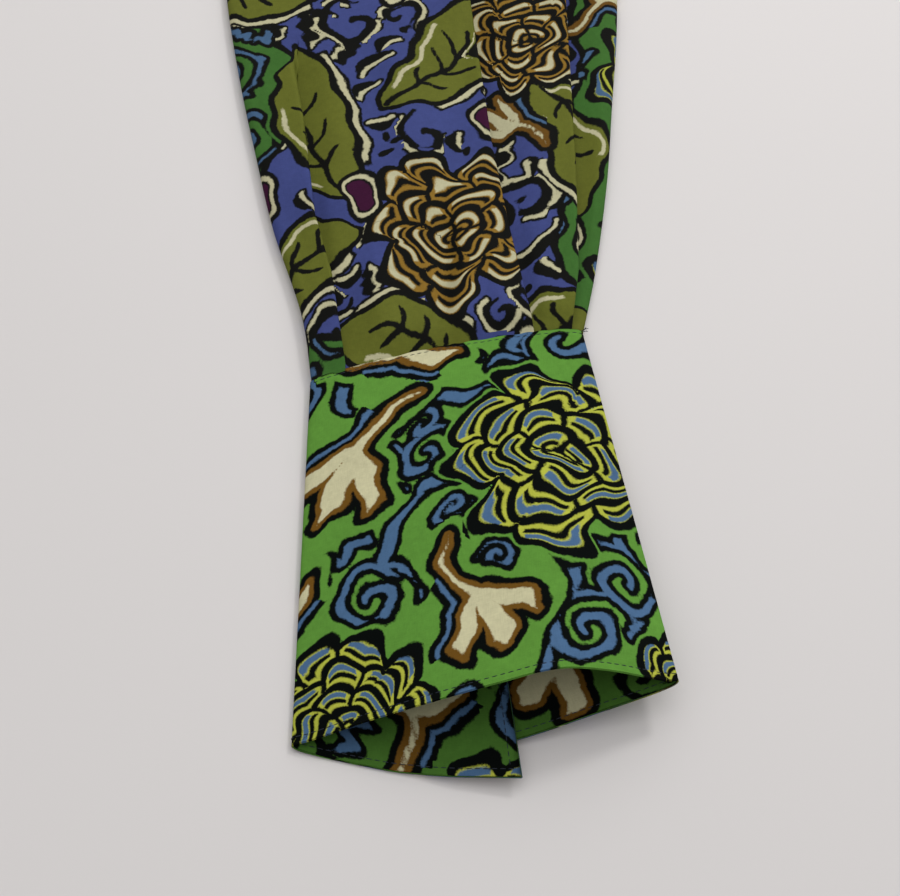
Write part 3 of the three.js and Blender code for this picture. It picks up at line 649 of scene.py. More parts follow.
# One layer of the sleeve with its knife folds, from run to run. inward is -1 in the upper layer.
# Each fold is an arc that turns under, a straight run and an arc that turns back. Where it has
# opened, its points spread out along the cloth.
def foldedLayer(start, end, level, inward, folds, counts, lift):
    arc = foldSteps["arc"]
    runs, heights = [], []

    def dropOf(fold):
        return 2 * fold["bend"] * (1 - np.cos(fold["turn"])) + fold["length"] * np.sin(fold["turn"])

    def heightAt(run, passed):
        height = level(run)
        for k, fold in enumerate(folds):
            drop = dropOf(fold)[:, None]
            aside = run - fold["run"][:, None]
            if k >= passed:
                height = height - inward * lift * drop * np.exp(-(aside / fold["reach"]) ** 2)
            else:
                height = height + inward * (1 - lift) * drop * (1 - smooth(aside / sleeve["recovery"]))
        return height

    opened = start
    for k, fold in enumerate(folds + [None]):
        t = np.linspace(0, 1, counts[k])
        t = (t - foldSteps["crowd"] * np.sin(2 * math.pi * t))[None]
        if fold is None:
            last = end
        else:
            spread = (1 - fold["closed"]) * foldSteps["spread"]
            last = fold["run"] - fold["bend"] * fold["closed"] - spread * (arc + 2)
        run = mix(opened[:, None], last[:, None], t)
        runs.append(run)
        heights.append(heightAt(run, k))
        if fold is None:
            break
        bend, turn, length = fold["bend"][:, None], fold["turn"][:, None], fold["length"][:, None]
        first = np.linspace(0, 1, arc + 1)[None, 1:]
        arcRun, arcDrop = bend * np.sin(turn * first), bend * (1 - np.cos(turn * first))
        tRun, tDrop = arcRun[:, -1:], arcDrop[:, -1:]
        lineRun, lineDrop = tRun + length * np.cos(turn) * 0.5, tDrop + length * np.sin(turn) * 0.5
        second = np.linspace(1, 0, arc + 1)[None]
        farRun, farDrop = tRun + length * np.cos(turn), tDrop + length * np.sin(turn)
        backRun = farRun + bend * (np.sin(turn) - np.sin(turn * second))
        backDrop = farDrop + bend * (np.cos(turn * second) - np.cos(turn))
        foldRun = np.concatenate((arcRun, lineRun, backRun), 1)
        foldDrop = np.concatenate((arcDrop, lineDrop, backDrop), 1)
        step = np.arange(foldRun.shape[1])[None] - foldRun.shape[1] + 1
        base = last + spread * (arc + 2)
        foldRun = base[:, None] + foldRun + spread[:, None] * (step + arc + 2)
        runs.append(foldRun)
        heights.append(heights[-1][:, -1:] + inward * foldDrop)
        opened = fold["run"] + mix(spread * (arc + 6), 0.5, fold["closed"])
    return np.concatenate(runs, 1), np.concatenate(heights, 1)


# the sleeve's rings, with two more tucked under the cuff and two under the body
def sleeveRings(fine, coarse, fineTo=300):
    middles = [(row[1] + row[3]) / 2 for row in sleeve["rows"]]
    steps = np.concatenate((np.arange(middles[0], fineTo, fine), np.arange(fineTo, middles[-1], coarse),
                            [middles[-1]]))
    fromSeam = np.concatenate((sleeve["tuckedFrom"], steps - middles[0], [steps[-1] - middles[0]] * 2))
    place = np.interp(fromSeam + middles[0], middles, np.arange(len(middles)))
    slide = np.zeros(len(place))
    slide[:2] = sleeve["tuckedSlide"]
    slide[-2:] = sleeve["underBody"]
    return place, slide, np.maximum(fromSeam, 0)


def sleeveObject(side, fine, coarse, counts, lowCounts, flatShift):
    place, slide, fromSeam = sleeveRings(fine, coarse)
    section = Section(place, slide)
    width = section.width
    upper = [pleatIn(pleat, section, fromSeam) for pleat in frontPleats]
    lower = [pleatIn(pleat, section, fromSeam) for pleat in backPleats]
    for fold in lower:
        fold["run"] = width - fold["run"]
        fold["bend"] = fold["bend"] * sleeve["backBend"]
    nearSeam = smooth(fromSeam / sleeve["flatAtSeam"])
    nearBody = smooth((place[-1] - place) / sleeve["flatAtBody"])
    rows = sleeveRidges[sideName[side]]

    def upperLevel(run):
        share = run / width[:, None]
        point = section.pointAt(run)
        window = np.clip(4 * share * (1 - share), 0, 1) ** 0.5
        puff = sleeve["puff"] * (fromSeam / sleeve["puffReach"]
                                 * np.exp(1 - fromSeam / sleeve["puffReach"]))[:, None]
        folds = ridges(point[..., 0], point[..., 1], rows)
        folds = folds + sleeve["waver"] * wander(point[..., 0], point[..., 1], sleeve["waverSize"],
                                                 3 + side)
        pucker = sleeve["pucker"] * np.exp(-fromSeam / sleeve["puckerReach"])[:, None] \
            * nearSeam[:, None] \
            * np.sin(run / sleeve["puckerPitch"] + 1.8 * np.sin(run / sleeve["puckerSway"]))
        soft = nearSeam[:, None] * nearBody[:, None]
        swell = puff * nearBody[:, None] * sleeve["puffShare"] + sleeve["crown"] * soft * window \
            + folds * soft
        height = section.rise[:, None] + sleeve["seamStep"] * soft + swell * window + pucker
        return np.maximum(height, sleeve["low"] + sleeve["upperClear"])

    def lowerLevel(run):
        return np.full(run.shape, sleeve["low"])

    edge = np.minimum(sleeve["edge"], mix(sleeve["seamEdge"], sleeve["edge"], nearSeam))
    topRun, topHeight = foldedLayer(edge, width - edge, upperLevel, -1, upper, counts,
                                    sleeve["frontLift"])
    lowRun, lowHeight = foldedLayer(edge, width - edge, lowerLevel, 1, lower, lowCounts, 0.0)
    topHeight = np.maximum(topHeight, sleeve["low"] + sleeve["foldClear"])
    turn = np.linspace(0, math.pi, sleeve["edgePoints"])[None, 1:-1]

    def edgeFold(lowZ, topZ, atRun, outward):
        middle, half = (lowZ + topZ) / 2, (topZ - lowZ) / 2
        return (atRun[:, None] + outward * edge[:, None] * np.sin(turn),
                middle[:, None] - half[:, None] * np.cos(turn))

    leftRun, leftHeight = edgeFold(lowHeight[:, -1], topHeight[:, 0], edge, -1)
    rightRun, rightHeight = edgeFold(lowHeight[:, 0], topHeight[:, -1], width - edge, 1)
    lowRun = width[:, None] - lowRun
    run = np.concatenate((lowRun[:, -1:], leftRun, topRun, rightRun[:, ::-1], lowRun[:, :-1]), 1)
    height = np.concatenate((lowHeight[:, -1:], leftHeight, topHeight, rightHeight[:, ::-1],
                             lowHeight[:, :-1]), 1)
    tucked = np.array(sleeve["tuckedHeight"])[:, None]
    height[:2] = sleeve["low"] + (height[:2] - sleeve["low"]) * tucked
    laidOut = section.pointAt(run)
    points = onArm(laidOut[..., 0], laidOut[..., 1], height, side)
    length = np.concatenate((np.zeros((len(run), 1)), np.cumsum(
        np.hypot(np.diff(run, axis=1), np.diff(height, axis=1)), 1)), 1)
    # the cloth's grain line runs down the middle panel
    first = 1 + leftRun.shape[1] + counts[0] + foldPoints
    middlePanel = slice(first, first + counts[1])
    grain = np.array([np.interp(sleeve["grainU"], laidOut[j, middlePanel, 0], length[j, middlePanel])
                      for j in range(len(run))])
    flat = np.stack((length - grain[:, None] + flatShift[0], laidOut[..., 1] + flatShift[1]), -1)
    return layerObject("sleeve_" + sideName[side] + "_cloth", points, flat, ring=True)


# The cuffs
cuff = {
    "rows": [   # seam run, seam height, hem u, hem v, hem height
        (64, 2.9, 25.6, -144.3, 5.6), (46, 2.9, 2, -143, 3.2), (34, 1.3, -12, -141.2, 1.3),
        (24, .8, -24, -139.4, .8), (5, .8, -50, -133.6, .8), (0, 3.2, -57.5, -130.8, 1.9),
        (5, 5.7, -50, -129.6, 5), (26, 5.7, -30.4, -125.4, 12), (50, 5.7, -7, -121.6, 20.6),
        (74, 5.7, 17.8, -117.4, 28.2), (88, 6.0, 38, -114.4, 33.4), (100, 6.4, 56, -113, 29),
        (113, 6.2, 76, -112, 18.6), (117.6, 3.4, 83, -111.5, 15.4), (113, .8, 75, -114.6, 12.6),
        (95, .8, 52.5, -121, 8.2), (72, .8, 30, -127.4, 3.8), (48, .8, 4, -134, .8)],
    "wall": 1.0, "overSleeve": 0.9, "stitchFromSeam": 1.9, "stitchFromHem": 2.6,
    "leftEdgeRow": 5, "rightEdgeRow": 13, "depth": 168,
    "frontFrom": 5.4, "frontTo": 11.8, "fineFrom": 4.3, "fineTo": 13.6,
    "waver": 1.1, "waverSize": 34, "flatAtSeam": 22, "flatAtHem": 10,
    "pucker": 0.12, "puckerReach": 7, "puckerPitch": 1.5, "puckerSway": 6,
    "lipDrop": 0.30, "seamLip": 1.1, "hemLip": 1.0,
    "stitchDrop": 0.38, "stitchWide": 0.8, "hemStitch": 0.7, "frontBlend": 1.2, "lowest": 0.02,
}
cuffRidges = [(-34, 22, -46, -74, 0.9, 16), (22, 30, 40, -60, 1.0, 15), (50, 10, 66, -84, 1.0, 13),
              (-6, -40, -14, -112, 0.9, 18)]


# shares of a length, closer together within reach of its two ends
def edgeSpacing(length, fine, coarse, reach=5):
    near = np.arange(0, reach, fine)
    inner = np.linspace(reach, length - reach, max(2, int((length - 2 * reach) / coarse)))
    return np.concatenate((near, inner, length - near[::-1])) / length


def cuffSurface(place, down, side):
    section = Section(np.zeros(1), np.array((cuff["overSleeve"],)))
    value = [columnAt(cuff["rows"], k, place) for k in range(5)]
    seam = section.pointAt(value[0][None])[0]
    u = mix(seam[None, :, 0], value[2][None], down[:, None])
    v = mix(seam[None, :, 1], value[3][None], down[:, None])
    z = mix(value[1][None], value[4][None], down[:, None])
    front = smooth((place - cuff["frontFrom"]) / cuff["frontBlend"]) \
        * (1 - smooth(place - cuff["frontTo"]))
    fromSeam, fromHem = down * cuff["depth"], (1 - down) * cuff["depth"]
    # shallow waves of the front, puckers at the two lines of stitches and a lip at the seam
    soft = smooth(fromSeam / cuff["flatAtSeam"]) * smooth(fromHem / cuff["flatAtHem"])
    waves = cuff["waver"] * wander(u, v, cuff["waverSize"], 5 + side) + ridges(u, v, cuffRidges)
    z = z + front[None] * soft[:, None] * waves
    lip = np.exp(-(fromSeam / cuff["seamLip"]) ** 2) + np.exp(-(fromHem / cuff["hemLip"]) ** 2)
    line = np.exp(-((fromSeam - cuff["stitchFromSeam"]) / cuff["stitchWide"]) ** 2) \
        + cuff["hemStitch"] * np.exp(-((fromHem - cuff["stitchFromHem"]) / cuff["stitchWide"]) ** 2)
    pucker = np.exp(-(fromSeam / cuff["puckerReach"]) ** 2)[:, None] * cuff["pucker"] \
        * np.sin(u / cuff["puckerPitch"] + 2 * np.sin(u / cuff["puckerSway"]))
    z = z + front[None] * (pucker - (cuff["lipDrop"] * lip + cuff["stitchDrop"] * line)[:, None])
    return onArm(u, v, np.maximum(z, cuff["wall"] / 2 + cuff["lowest"]), side)


# places round the cuff, fine on the front, coarse below and finest at its two side edges
def cuffPlaces(spacing):
    place = np.linspace(0, len(cuff["rows"]) - 1, 2400)
    middle = cuffSurface(place, np.array((0.6,)), 1)[0]
    length = np.concatenate(([0], np.cumsum(np.linalg.norm(np.diff(middle, axis=0), axis=1))))
    upper = (place > cuff["fineFrom"]) & (place < cuff["fineTo"])
    density = np.where(upper, 1 / spacing[0], 1 / spacing[1])
    for edgeRow in (cuff["leftEdgeRow"], cuff["rightEdgeRow"]):
        density = np.where(np.abs(place - edgeRow) < 0.5, 1 / (spacing[0] * 0.55), density)
    count = np.concatenate(([0], np.cumsum(np.diff(length) * (density[1:] + density[:-1]) / 2)))
    return np.interp(np.linspace(0, count[-1], int(count[-1]) + 1), count, place)


def cuffObject(side, spacing, downSpacing, flatShift):
    place = cuffPlaces(spacing)
    down = edgeSpacing(cuff["depth"], min(0.6, downSpacing), downSpacing)
    points = cuffSurface(place, down, side)
    length = runLength(points)
    edge = np.array([np.interp(cuff["leftEdgeRow"], place, row) for row in length])
    flat = np.stack((length - edge[:, None] + flatShift[0],
                     np.broadcast_to(flatShift[1] - down[:, None] * cuff["depth"], length.shape)), -1)
    return wallObject("cuff_" + sideName[side] + "_cloth", points, flat, cuff["wall"], -side)


# The fronts and the back
body = {
    "neckHalfWidth": 68, "frontNeckDrop": 82, "backNeckDrop": 0.5,
    "hemDrop": 1135, "hemRise": 16, "hemHalfWidth": 332,
    "sides": [(430, 238), (640, 262), (880, 297)],
    "armholeGap": -0.4, "underlap": 14, "overlapUnder": 13,
    "neckShare": 0.2, "tipShare": 0.5, "neckRun": 80, "restRun": 232,
    "backZ": 0.45, "backHalf": 320, "backLength": 1120,
    "frontZ": 2.3, "frontWidth": 300, "frontLength": 1090,
    "freeFrom": 19, "flatAtPlacket": 26, "flatAtSides": 30, "flatAtTop": 60,
    "waver": 0.9, "waverSize": 48, "hemWave": 1.6, "hemPitch": 13.5,
    "hemWaveFrom": 0.55, "hemSway": 170, "dip": 0.4,
    "seamBump": 0.35, "bumpFrom": 5, "bumpWide": 3, "seamFall": 1.3, "fallWide": 2.2,
    "hemGroove": 0.25, "grooveWide": 1.5, "hemDeep": 12,
    # rows of the turned hem: how far past the edge, below 0 behind it, and how far below the cloth
    "hemTurn": ((0.5, 0.45), (0.2, 1.0), (-1.2, 1.25), (-4, 1.2), (-10, 1.1)), "hemLowest": 1.1,
}
bodyFolds = {   # from, to, height, width
    "front_left": [(200, -330, 90, -520, 6.1, 18), (120, -560, 150, -1190, 8.1, 21),
                   (210, -600, 262, -1190, 6.8, 18), (60, -760, 62, -1190, 6.1, 14),
                   (120, -110, 150, -300, 4.1, 18), (180, -250, 120, -420, 4.1, 11),
                   (285, -900, 300, -1190, 5.4, 13), (180, -820, 196, -1190, 4.7, 11)],
    "front_right": [(-215, -345, -110, -480, 5.7, 16), (-95, -600, -112, -1190, 8.1, 20),
                    (-190, -560, -215, -1190, 7.4, 21), (-245, -820, -292, -1190, 6.1, 13),
                    (-135, -120, -160, -280, 4.1, 19), (-200, -240, -130, -400, 4.1, 10),
                    (-150, -860, -158, -1190, 4.7, 10)],
}


def hemY(x):
    return -body["hemDrop"] + body["hemRise"] * (x / body["hemHalfWidth"]) ** 2


armholeSection = Section(np.array((len(sleeve["rows"]) - 1.0,)), np.zeros(1))


def armholeAt(share):
    run = armholeSection.width[0] * (1 - share)
    point = armholeSection.pointAt(run[None])[0] + armholeSection.way[0] * body["armholeGap"]
    return onArm(point[:, 0], point[:, 1], 0)[:, :2]


# a panel's top edge: along the neck, then the shoulder, then the armhole
def topEdge(share, neckDrop, innerEdge):
    neckShare, tipShare = body["neckShare"], body["tipShare"]
    start = math.asin(innerEdge / body["neckHalfWidth"])
    angle = mix(start, math.pi / 2, np.clip(share / neckShare, 0, 1))
    neck = np.stack((body["neckHalfWidth"] * np.sin(angle), -neckDrop * np.cos(angle)), 1)
    tip = armholeAt(np.zeros(1))[0]
    t = np.clip((share - neckShare) / (tipShare - neckShare), 0, 1)[:, None]
    shoulder = mix(np.array((body["neckHalfWidth"], 0.0)), tip, t)
    hole = armholeAt(np.clip((share - tipShare) / (1 - tipShare), 0, 1))
    share = share[:, None]
    return np.where(share < neckShare, neck, np.where(share < tipShare, shoulder, hole))


# a flat panel between its top edge, its inner edge, its side and its hem
def panel(across, down, neckDrop, innerEdge):
    underarm = armholeAt(np.ones(1))[0]
    top = topEdge(across, neckDrop, innerEdge)[None]
    hemX = mix(innerEdge, body["hemHalfWidth"], across)
    hem = np.stack((hemX, hemY(hemX)), 1)[None]
    innerTop = topEdge(np.zeros(1), neckDrop, innerEdge)[0]
    innerHem = np.array((innerEdge, hemY(innerEdge)))
    inner = np.stack((np.full(len(down), float(innerEdge)), mix(innerTop[1], innerHem[1], down)), 1)
    rows = [(-underarm[1], underarm[0])] + body["sides"] \
        + [(-hemY(body["hemHalfWidth"]), body["hemHalfWidth"])]
    drop = mix(rows[0][0], rows[-1][0], down)
    outerX = columnAt(rows, 1, np.interp(drop, [row[0] for row in rows], np.arange(len(rows))))
    outer = np.stack((outerX, -drop), 1)
    t, s = across[None, :, None], down[:, None, None]
    corners = mix(mix(innerTop, underarm, t), mix(innerHem, outer[-1], t), s)
    return mix(top, hem, s) + mix(inner[:, None], outer[:, None], t) - corners


def frontObject(side, innerEdge, spacing, flatShift):
    node = "front_" + sideName[side]
    neckShare = body["neckShare"]
    across = np.concatenate((np.linspace(0, neckShare, int(body["neckRun"] / spacing), endpoint=False),
                             np.linspace(neckShare, 1, int(body["restRun"] / spacing))))
    down = np.linspace(0, 1, int(body["frontLength"] / spacing))
    flat = panel(across, down, body["frontNeckDrop"], innerEdge)
    x, y = flat[..., 0], flat[..., 1]
    fromSide = (1 - across)[None] * body["frontWidth"]
    fromTop = down[:, None] * body["frontLength"]
    free = smooth((x - body["freeFrom"]) / body["flatAtPlacket"]) \
        * smooth(fromSide / body["flatAtSides"]) * smooth(fromTop / body["flatAtTop"])
    height = ridges(x * side, y, bodyFolds[node]) \
        + body["waver"] * wander(x * side, y, body["waverSize"], 7 + side)
    # the hem ripples more and more down the skirt
    hemWay = smooth((down[:, None] - body["hemWaveFrom"]) / (1 - body["hemWaveFrom"]))
    ripple = 1 + np.sin(x / body["hemPitch"] + side + 1.6 * np.sin(y / body["hemSway"]))
    height = height + hemWay * body["hemWave"] * ripple
    z = body["frontZ"] + np.maximum(height * free, -body["dip"] * free)
    # a soft bump each side of a seam, and edges that turn down into it
    seam = np.minimum(fromSide, np.where(across[None] > neckShare, fromTop, 99))
    z = z + body["seamBump"] * np.exp(-((seam - body["bumpFrom"]) / body["bumpWide"]) ** 2) \
        - body["seamFall"] * np.exp(-(fromSide / body["fallWide"]) ** 2)
    fromHem = (1 - down)[:, None] * body["frontLength"]
    z = z - body["hemGroove"] * np.exp(-((fromHem - body["hemDeep"]) / body["grooveWide"]) ** 2)
    points = np.stack((x * side, y, z), -1)
    turnedUnder = []
    for past, fall in body["hemTurn"]:
        row = points[-1].copy()
        row[:, 1] -= past
        row[:, 2] = np.maximum(row[:, 2] - fall, body["hemLowest"])
        turnedUnder.append(row)
    points = np.concatenate((points, np.array(turnedUnder)))
    return layerObject(node + "_cloth", points, points[..., :2] + flatShift)


def backObject(spacing, flatShift):
    half = np.linspace(0, 1, int(body["backHalf"] / spacing))
    down = np.linspace(0, 1, int(body["backLength"] / spacing))
    right = panel(half, down, body["backNeckDrop"], 0)
    flat = np.concatenate((right[:, :0:-1] * (-1, 1), right), 1)
    z = np.full(flat.shape[:2], body["backZ"])
    points = np.concatenate((flat, z[..., None]), 2)
    return layerObject("back_cloth", points, flat + flatShift)


# The placket, the stand and the collar
placket = {"halfWidth": 16, "topY": -84.3, "z": 3.8, "wall": 1.5, "stitchIn": 4.5,
           "waver": 0.25, "waverSize": 40, "stitchDrop": 0.18, "stitchWide": 0.8,
           "bow": 0.3, "bowPitch": 31, "bowWithin": 8}


def placketObject(spacing):
    across = edgeSpacing(placket["halfWidth"] * 2, 0.75, spacing, 3) * 2 - 1
    bottom = hemY(0)
    down = edgeSpacing(placket["topY"] - bottom, 1.0, spacing * 1.3, 4)
    x = np.broadcast_to(across[None] * placket["halfWidth"], (len(down), len(across)))
    y = np.broadcast_to(mix(placket["topY"], bottom, down)[:, None], x.shape)
    aside = placket["halfWidth"] - np.abs(x)
    z = placket["z"] + placket["waver"] * wander(x, y, placket["waverSize"], 2) \
        - placket["stitchDrop"] * np.exp(-((aside - placket["stitchIn"]) / placket["stitchWide"]) ** 2)
    z = z + placket["bow"] * np.sin(y / placket["bowPitch"]) * smooth(aside / placket["bowWithin"])
    points = np.stack((x, y, z), -1)
    return wallObject("placket_cloth", points, points[..., :2] + (60, 90), placket["wall"])


# half of the neck from the back's middle to the front, and its other half mirrors it
neckRing = [   # foot x, foot y, top x, top y, top z, out x, out y, out z
    (0, -5.5, 0, 3, 31, 0, 35, .9), (30, -4.5, 30, 3.5, 31, 36, 36, .9),
    (52, -1, 50, 1.5, 31, 72, 29, 1.2), (64, -3, 62, -4, 31, 98, 9, 4.2),
    (66.5, -12, 64.5, -14, 30, 108, -22, 4.2), (65, -26, 62, -28, 30, 104, -58, 4.2),
    (56, -46, 52, -47, 29, 92, -95, 4.2), (40, -65, 36, -64, 28.5, 74, -127, 4.2),
    (21, -77, 19, -75, 28, 52, -150, 4.4), (0, -80.5, 0, -78, 27, 0, -150, 4.4)]
neck = {"standWall": 1.5, "collarWall": 1.5, "collarEnd": 8.15, "standEnd": 9.6,
        "lapClear": 7.5, "lapStep": 0.7, "lapDeep": 1.9, "onBackRow": 3.1,
        "standDeep": 28, "standShort": 3.2, "footOnFronts": 3.0, "footOnBack": 1.5,
        "collarDeep": 72, "waver": 0.5, "waverSize": 30,
        "fall": ((0, 0), (.1, .02), (.25, .14), (.5, .46), (.75, .82), (1, 1))}


def ringValue(column, place):
    front = len(neckRing) - 1
    return columnAt(neckRing, column, front - np.abs(front - np.abs(place)))


def ringSide(place):
    return np.sign(place) * np.where(np.abs(place) > len(neckRing) - 1, -1, 1)


def standPoint(place, up):
    x = mix(ringValue(0, place), ringValue(2, place), up) * ringSide(place)
    y = mix(ringValue(1, place), ringValue(3, place), up)
    y = y - neck["lapDeep"] * smooth((-place - neck["lapClear"]) / neck["lapStep"])
    top = ringValue(4, place) - neck["standShort"]
    onBack = smooth((neck["onBackRow"] - np.abs(place)) / 1.2)
    foot = mix(neck["footOnFronts"], neck["footOnBack"], onBack)
    return np.stack((x, y, mix(foot, top, up)), -1)


def standObject(stations, rows):
    place = np.linspace(-neck["standEnd"], neck["standEnd"], stations)[None]
    up = np.linspace(0, 1, rows)[:, None]
    points = standPoint(np.broadcast_to(place, (rows, stations)), up)
    flat = np.stack((runLength(points), np.broadcast_to(up * neck["standDeep"], (rows, stations))), -1)
    return wallObject("collar_stand_cloth", points, flat + (20, -120), neck["standWall"])


def collarSurface(place, step):
    place, step = np.broadcast_arrays(place, step)
    outward, fall = columnAt(neck["fall"], 0, step), columnAt(neck["fall"], 1, step)
    x = mix(ringValue(2, place), ringValue(5, place), outward) * ringSide(place)
    y = mix(ringValue(3, place), ringValue(6, place), outward)
    z = mix(ringValue(4, place), ringValue(7, place), fall)
    z = z + neck["waver"] * wander(x, y, neck["waverSize"], 4) \
        * smooth(outward * 3) * smooth((1 - outward) * 5)
    return np.stack((x, y, z), -1)


def collarObject(stations, rows):
    place = np.linspace(-neck["collarEnd"], neck["collarEnd"], stations)[None]
    step = np.linspace(0, len(neck["fall"]) - 1, rows)[:, None]
    points = collarSurface(place, step)
    outward = columnAt(neck["fall"], 0, step)
    run = np.broadcast_to(runLength(points)[rows // 3], (rows, stations))
    flat = np.stack((run, np.broadcast_to(-outward * neck["collarDeep"], (rows, stations))), -1)
    return wallObject("collar_cloth", points, flat + (-80, 190), neck["collarWall"], 1)


# each with its spacing or counts of points, and its place in the print
pieces = {
    "cuff_left": cuffObject(1, (1.0, 2.2), 1.05, (-78, -34)),
    "sleeve_left": sleeveObject(1, 1.12, 5.5, (26, 74, 30, 18), (14, 14, 14), (0, -26)),
    "cuff_right": cuffObject(-1, (2.4, 4.5), 2.4, (-120, -14)),
    "sleeve_right": sleeveObject(-1, 2.6, 5.5, (14, 40, 16, 10), (12, 12, 12), (40, 10)),
    "front_left": frontObject(1, -body["underlap"], 2.6, (30, 20)),
    "front_right": frontObject(-1, body["overlapUnder"], 2.6, (110, 150)),
    "back": backObject(7, (0, 40)),
    "placket": placketObject(1.6),
    "collar_stand": standObject(220, 18),
    "collar": collarObject(300, 48),
}
for node, piece in pieces.items():
    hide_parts(node)
print("cloth made")


# Sewing: short threads laid along lines on the cloth
sewing = {"length": 2.5, "gap": 0.55, "thick": 0.36, "sides": 5, "sink": 0.06, "fromArmhole": 5,
          "loose": 5, "buttonThread": (6, 0.55), "lowest": 0.02, "dropFrom": 80,
          # along one stitch: share of its run, thickness and rise
          "stations": ((0, 0.15, -0.55), (0.12, 0.9, 0.0), (0.5, 1.0, 0.32), (0.88, 0.9, 0.0),
                       (1, 0.15, -0.55))}


# threads on lines of points and outward ways in millimetres, all in one mesh
def threadObject(name, lines, length=sewing["length"], thick=sewing["thick"]):
    sides = sewing["sides"]
    angle = np.arange(sides) * 2 * math.pi / sides
    stations = np.array(sewing["stations"])
    pitch = length + sewing["gap"]
    points, faces = [], []
    for path, outward in lines:
        steps = np.linalg.norm(np.diff(path, axis=0), axis=1)
        run = np.concatenate(([0], np.cumsum(steps)))
        count = max(1, int(run[-1] / pitch))
        for k in range(count):
            at = (k + stations[:, 0] * length / pitch) * run[-1] / count
            middle = np.stack([np.interp(at, run, path[:, axis]) for axis in range(3)], 1)
            up = np.array([np.interp(at[2], run, outward[:, axis]) for axis in range(3)])
            up = up / np.linalg.norm(up)
            along = middle[-1] - middle[0]
            along = along / max(np.linalg.norm(along), 1e-6)
            aside = np.cross(along, up)
            rise = stations[:, 2] * thick - sewing["sink"]
            middle = middle + up[None] * rise[:, None]
            start = len(points) * len(stations) * sides
            ring = aside[None] * np.cos(angle)[:, None] + up[None] * np.sin(angle)[:, None]
            points.append(middle[:, None] + ring[None] * (stations[:, 1] * thick / 2)[:, None, None])
            faces += (gridFaces(len(stations), sides, True) + start).tolist()
            faces.append([start + i for i in reversed(range(sides))])
            faces.append([start + (len(stations) - 1) * sides + i for i in range(sides)])
    allPoints = np.array(points).reshape(-1, 3)
    allPoints[:, 2] = np.maximum(allPoints[:, 2], sewing["lowest"])
    piece = meshObject(name, allPoints, faces)
    turnOutwards(piece)
    print(name, len(points), "stitches")
    return piece


# the middle line of a grid of points with 3 rows, moved out by half a wall
def lineOn(points, out):
    along = np.gradient(points[1], axis=0)
    normal = unit(np.cross(along, points[2] - points[0]))
    return points[1] + normal * out, normal * np.sign(out)


# along the seam edge outside, and along the hem and both ends of the opening on both faces
def cuffLines(side):
    out = -cuff["wall"] / 2 * side
    last = len(cuff["rows"]) - 1
    around = np.linspace(0.08, last - 0.08, 400)
    lines = []
    hem = cuff["depth"] - cuff["stitchFromHem"]
    for fromSeam, faces in ((cuff["stitchFromSeam"], (1,)), (hem, (1, -1))):
        grid = cuffSurface(around, (np.array((-0.3, 0, 0.3)) + fromSeam) / cuff["depth"], side)
        lines += [lineOn(grid, out * face) for face in faces]
    down = np.linspace(0.02, 0.98, 60)
    for place in (0.14, last - 0.14):
        grid = cuffSurface(np.array((place - 0.02, place, place + 0.02)), down, side)
        lines += [lineOn(grid.swapaxes(0, 1), out), lineOn(grid.swapaxes(0, 1), -out)]
    return lines


# a line seen from above, dropped on to a piece of cloth
def droppedLine(x, y, name):
    tree = BVHTree.FromObject(pieces[name], bpy.context.evaluated_depsgraph_get())
    path, outward = [], []
    for px, py in zip(x, y):
        above = Vector((px, py + neckY, sewing["dropFrom"])) * mm
        spot, normal = tree.ray_cast(above, Vector((0, 0, -1)))[:2]
        if spot is not None:
            path.append((spot.x / mm, spot.y / mm - neckY, spot.z / mm))
            outward.append(normal if normal.z > 0 else -normal)
    return np.array(path), np.array(outward)


# a front's two lines: along its hem and beside its armhole
def bodyLines(side):
    share = np.linspace(0.04, 0.96, 160)
    hole = armholeAt(share)
    hole[:, 0] = side * hole[:, 0]
    across = np.linspace(20, body["hemHalfWidth"] - 6, 200)
    name = "front_" + sideName[side]
    lines = [droppedLine(side * across, hemY(across) + body["hemDeep"], name)]
    way = np.gradient(hole, axis=0)
    inward = unit(np.stack((way[:, 1], -way[:, 0]), 1) * side)
    if (inward[:, 0] * side).mean() > 0:
        inward = -inward
    hole = hole + inward * sewing["fromArmhole"]
    lines.append(droppedLine(hole[:, 0], hole[:, 1], name))
    return lines


def bandLines():
    y = np.linspace(placket["topY"] - 3, hemY(0) + 3, 600)
    aside = placket["halfWidth"] - placket["stitchIn"]
    return [droppedLine(np.full(len(y), x), y, "placket") for x in (-aside, aside)]


def collarLines():
    place = np.linspace(-neck["collarEnd"] + 0.12, neck["collarEnd"] - 0.12, 500)
    lastStep = len(neck["fall"]) - 1
    grid = collarSurface(place[None], lastStep + np.array((-0.42, -0.36, -0.30))[:, None])
    lines = [lineOn(grid, neck["collarWall"] / 2)]
    step = np.linspace(1.6, lastStep - 0.36, 60)
    for end in (-1, 1):
        at = end * (neck["collarEnd"] - 0.12)
        grid = collarSurface(at + np.array((-0.02, 0, 0.02))[:, None], step[None])
        lines.append(lineOn(grid, -neck["collarWall"] / 2))
    return lines


looseEnds = [   # u, v, height, then how far each runs, and its bow
    (56.4, 55.6, 6.0, 3.4, 1.8, -0.4, 0.4), (56.0, 55.4, 6.2, 2.6, 2.6, 0.2, -0.5),
    (56.6, 55.2, 5.8, 2.8, 0.9, -0.6, 0.3)]


def looseLines():
    lines = []
    t = np.linspace(0, 1, 6)
    for u, v, z, toU, toV, toZ, bow in looseEnds:
        path = onArm(u + toU * t, v + toV * t + bow * 4 * t * (1 - t), z + toZ * t * t)
        lines.append((path, np.tile((0.0, 0.0, 1.0), (len(t), 1))))
    return lines


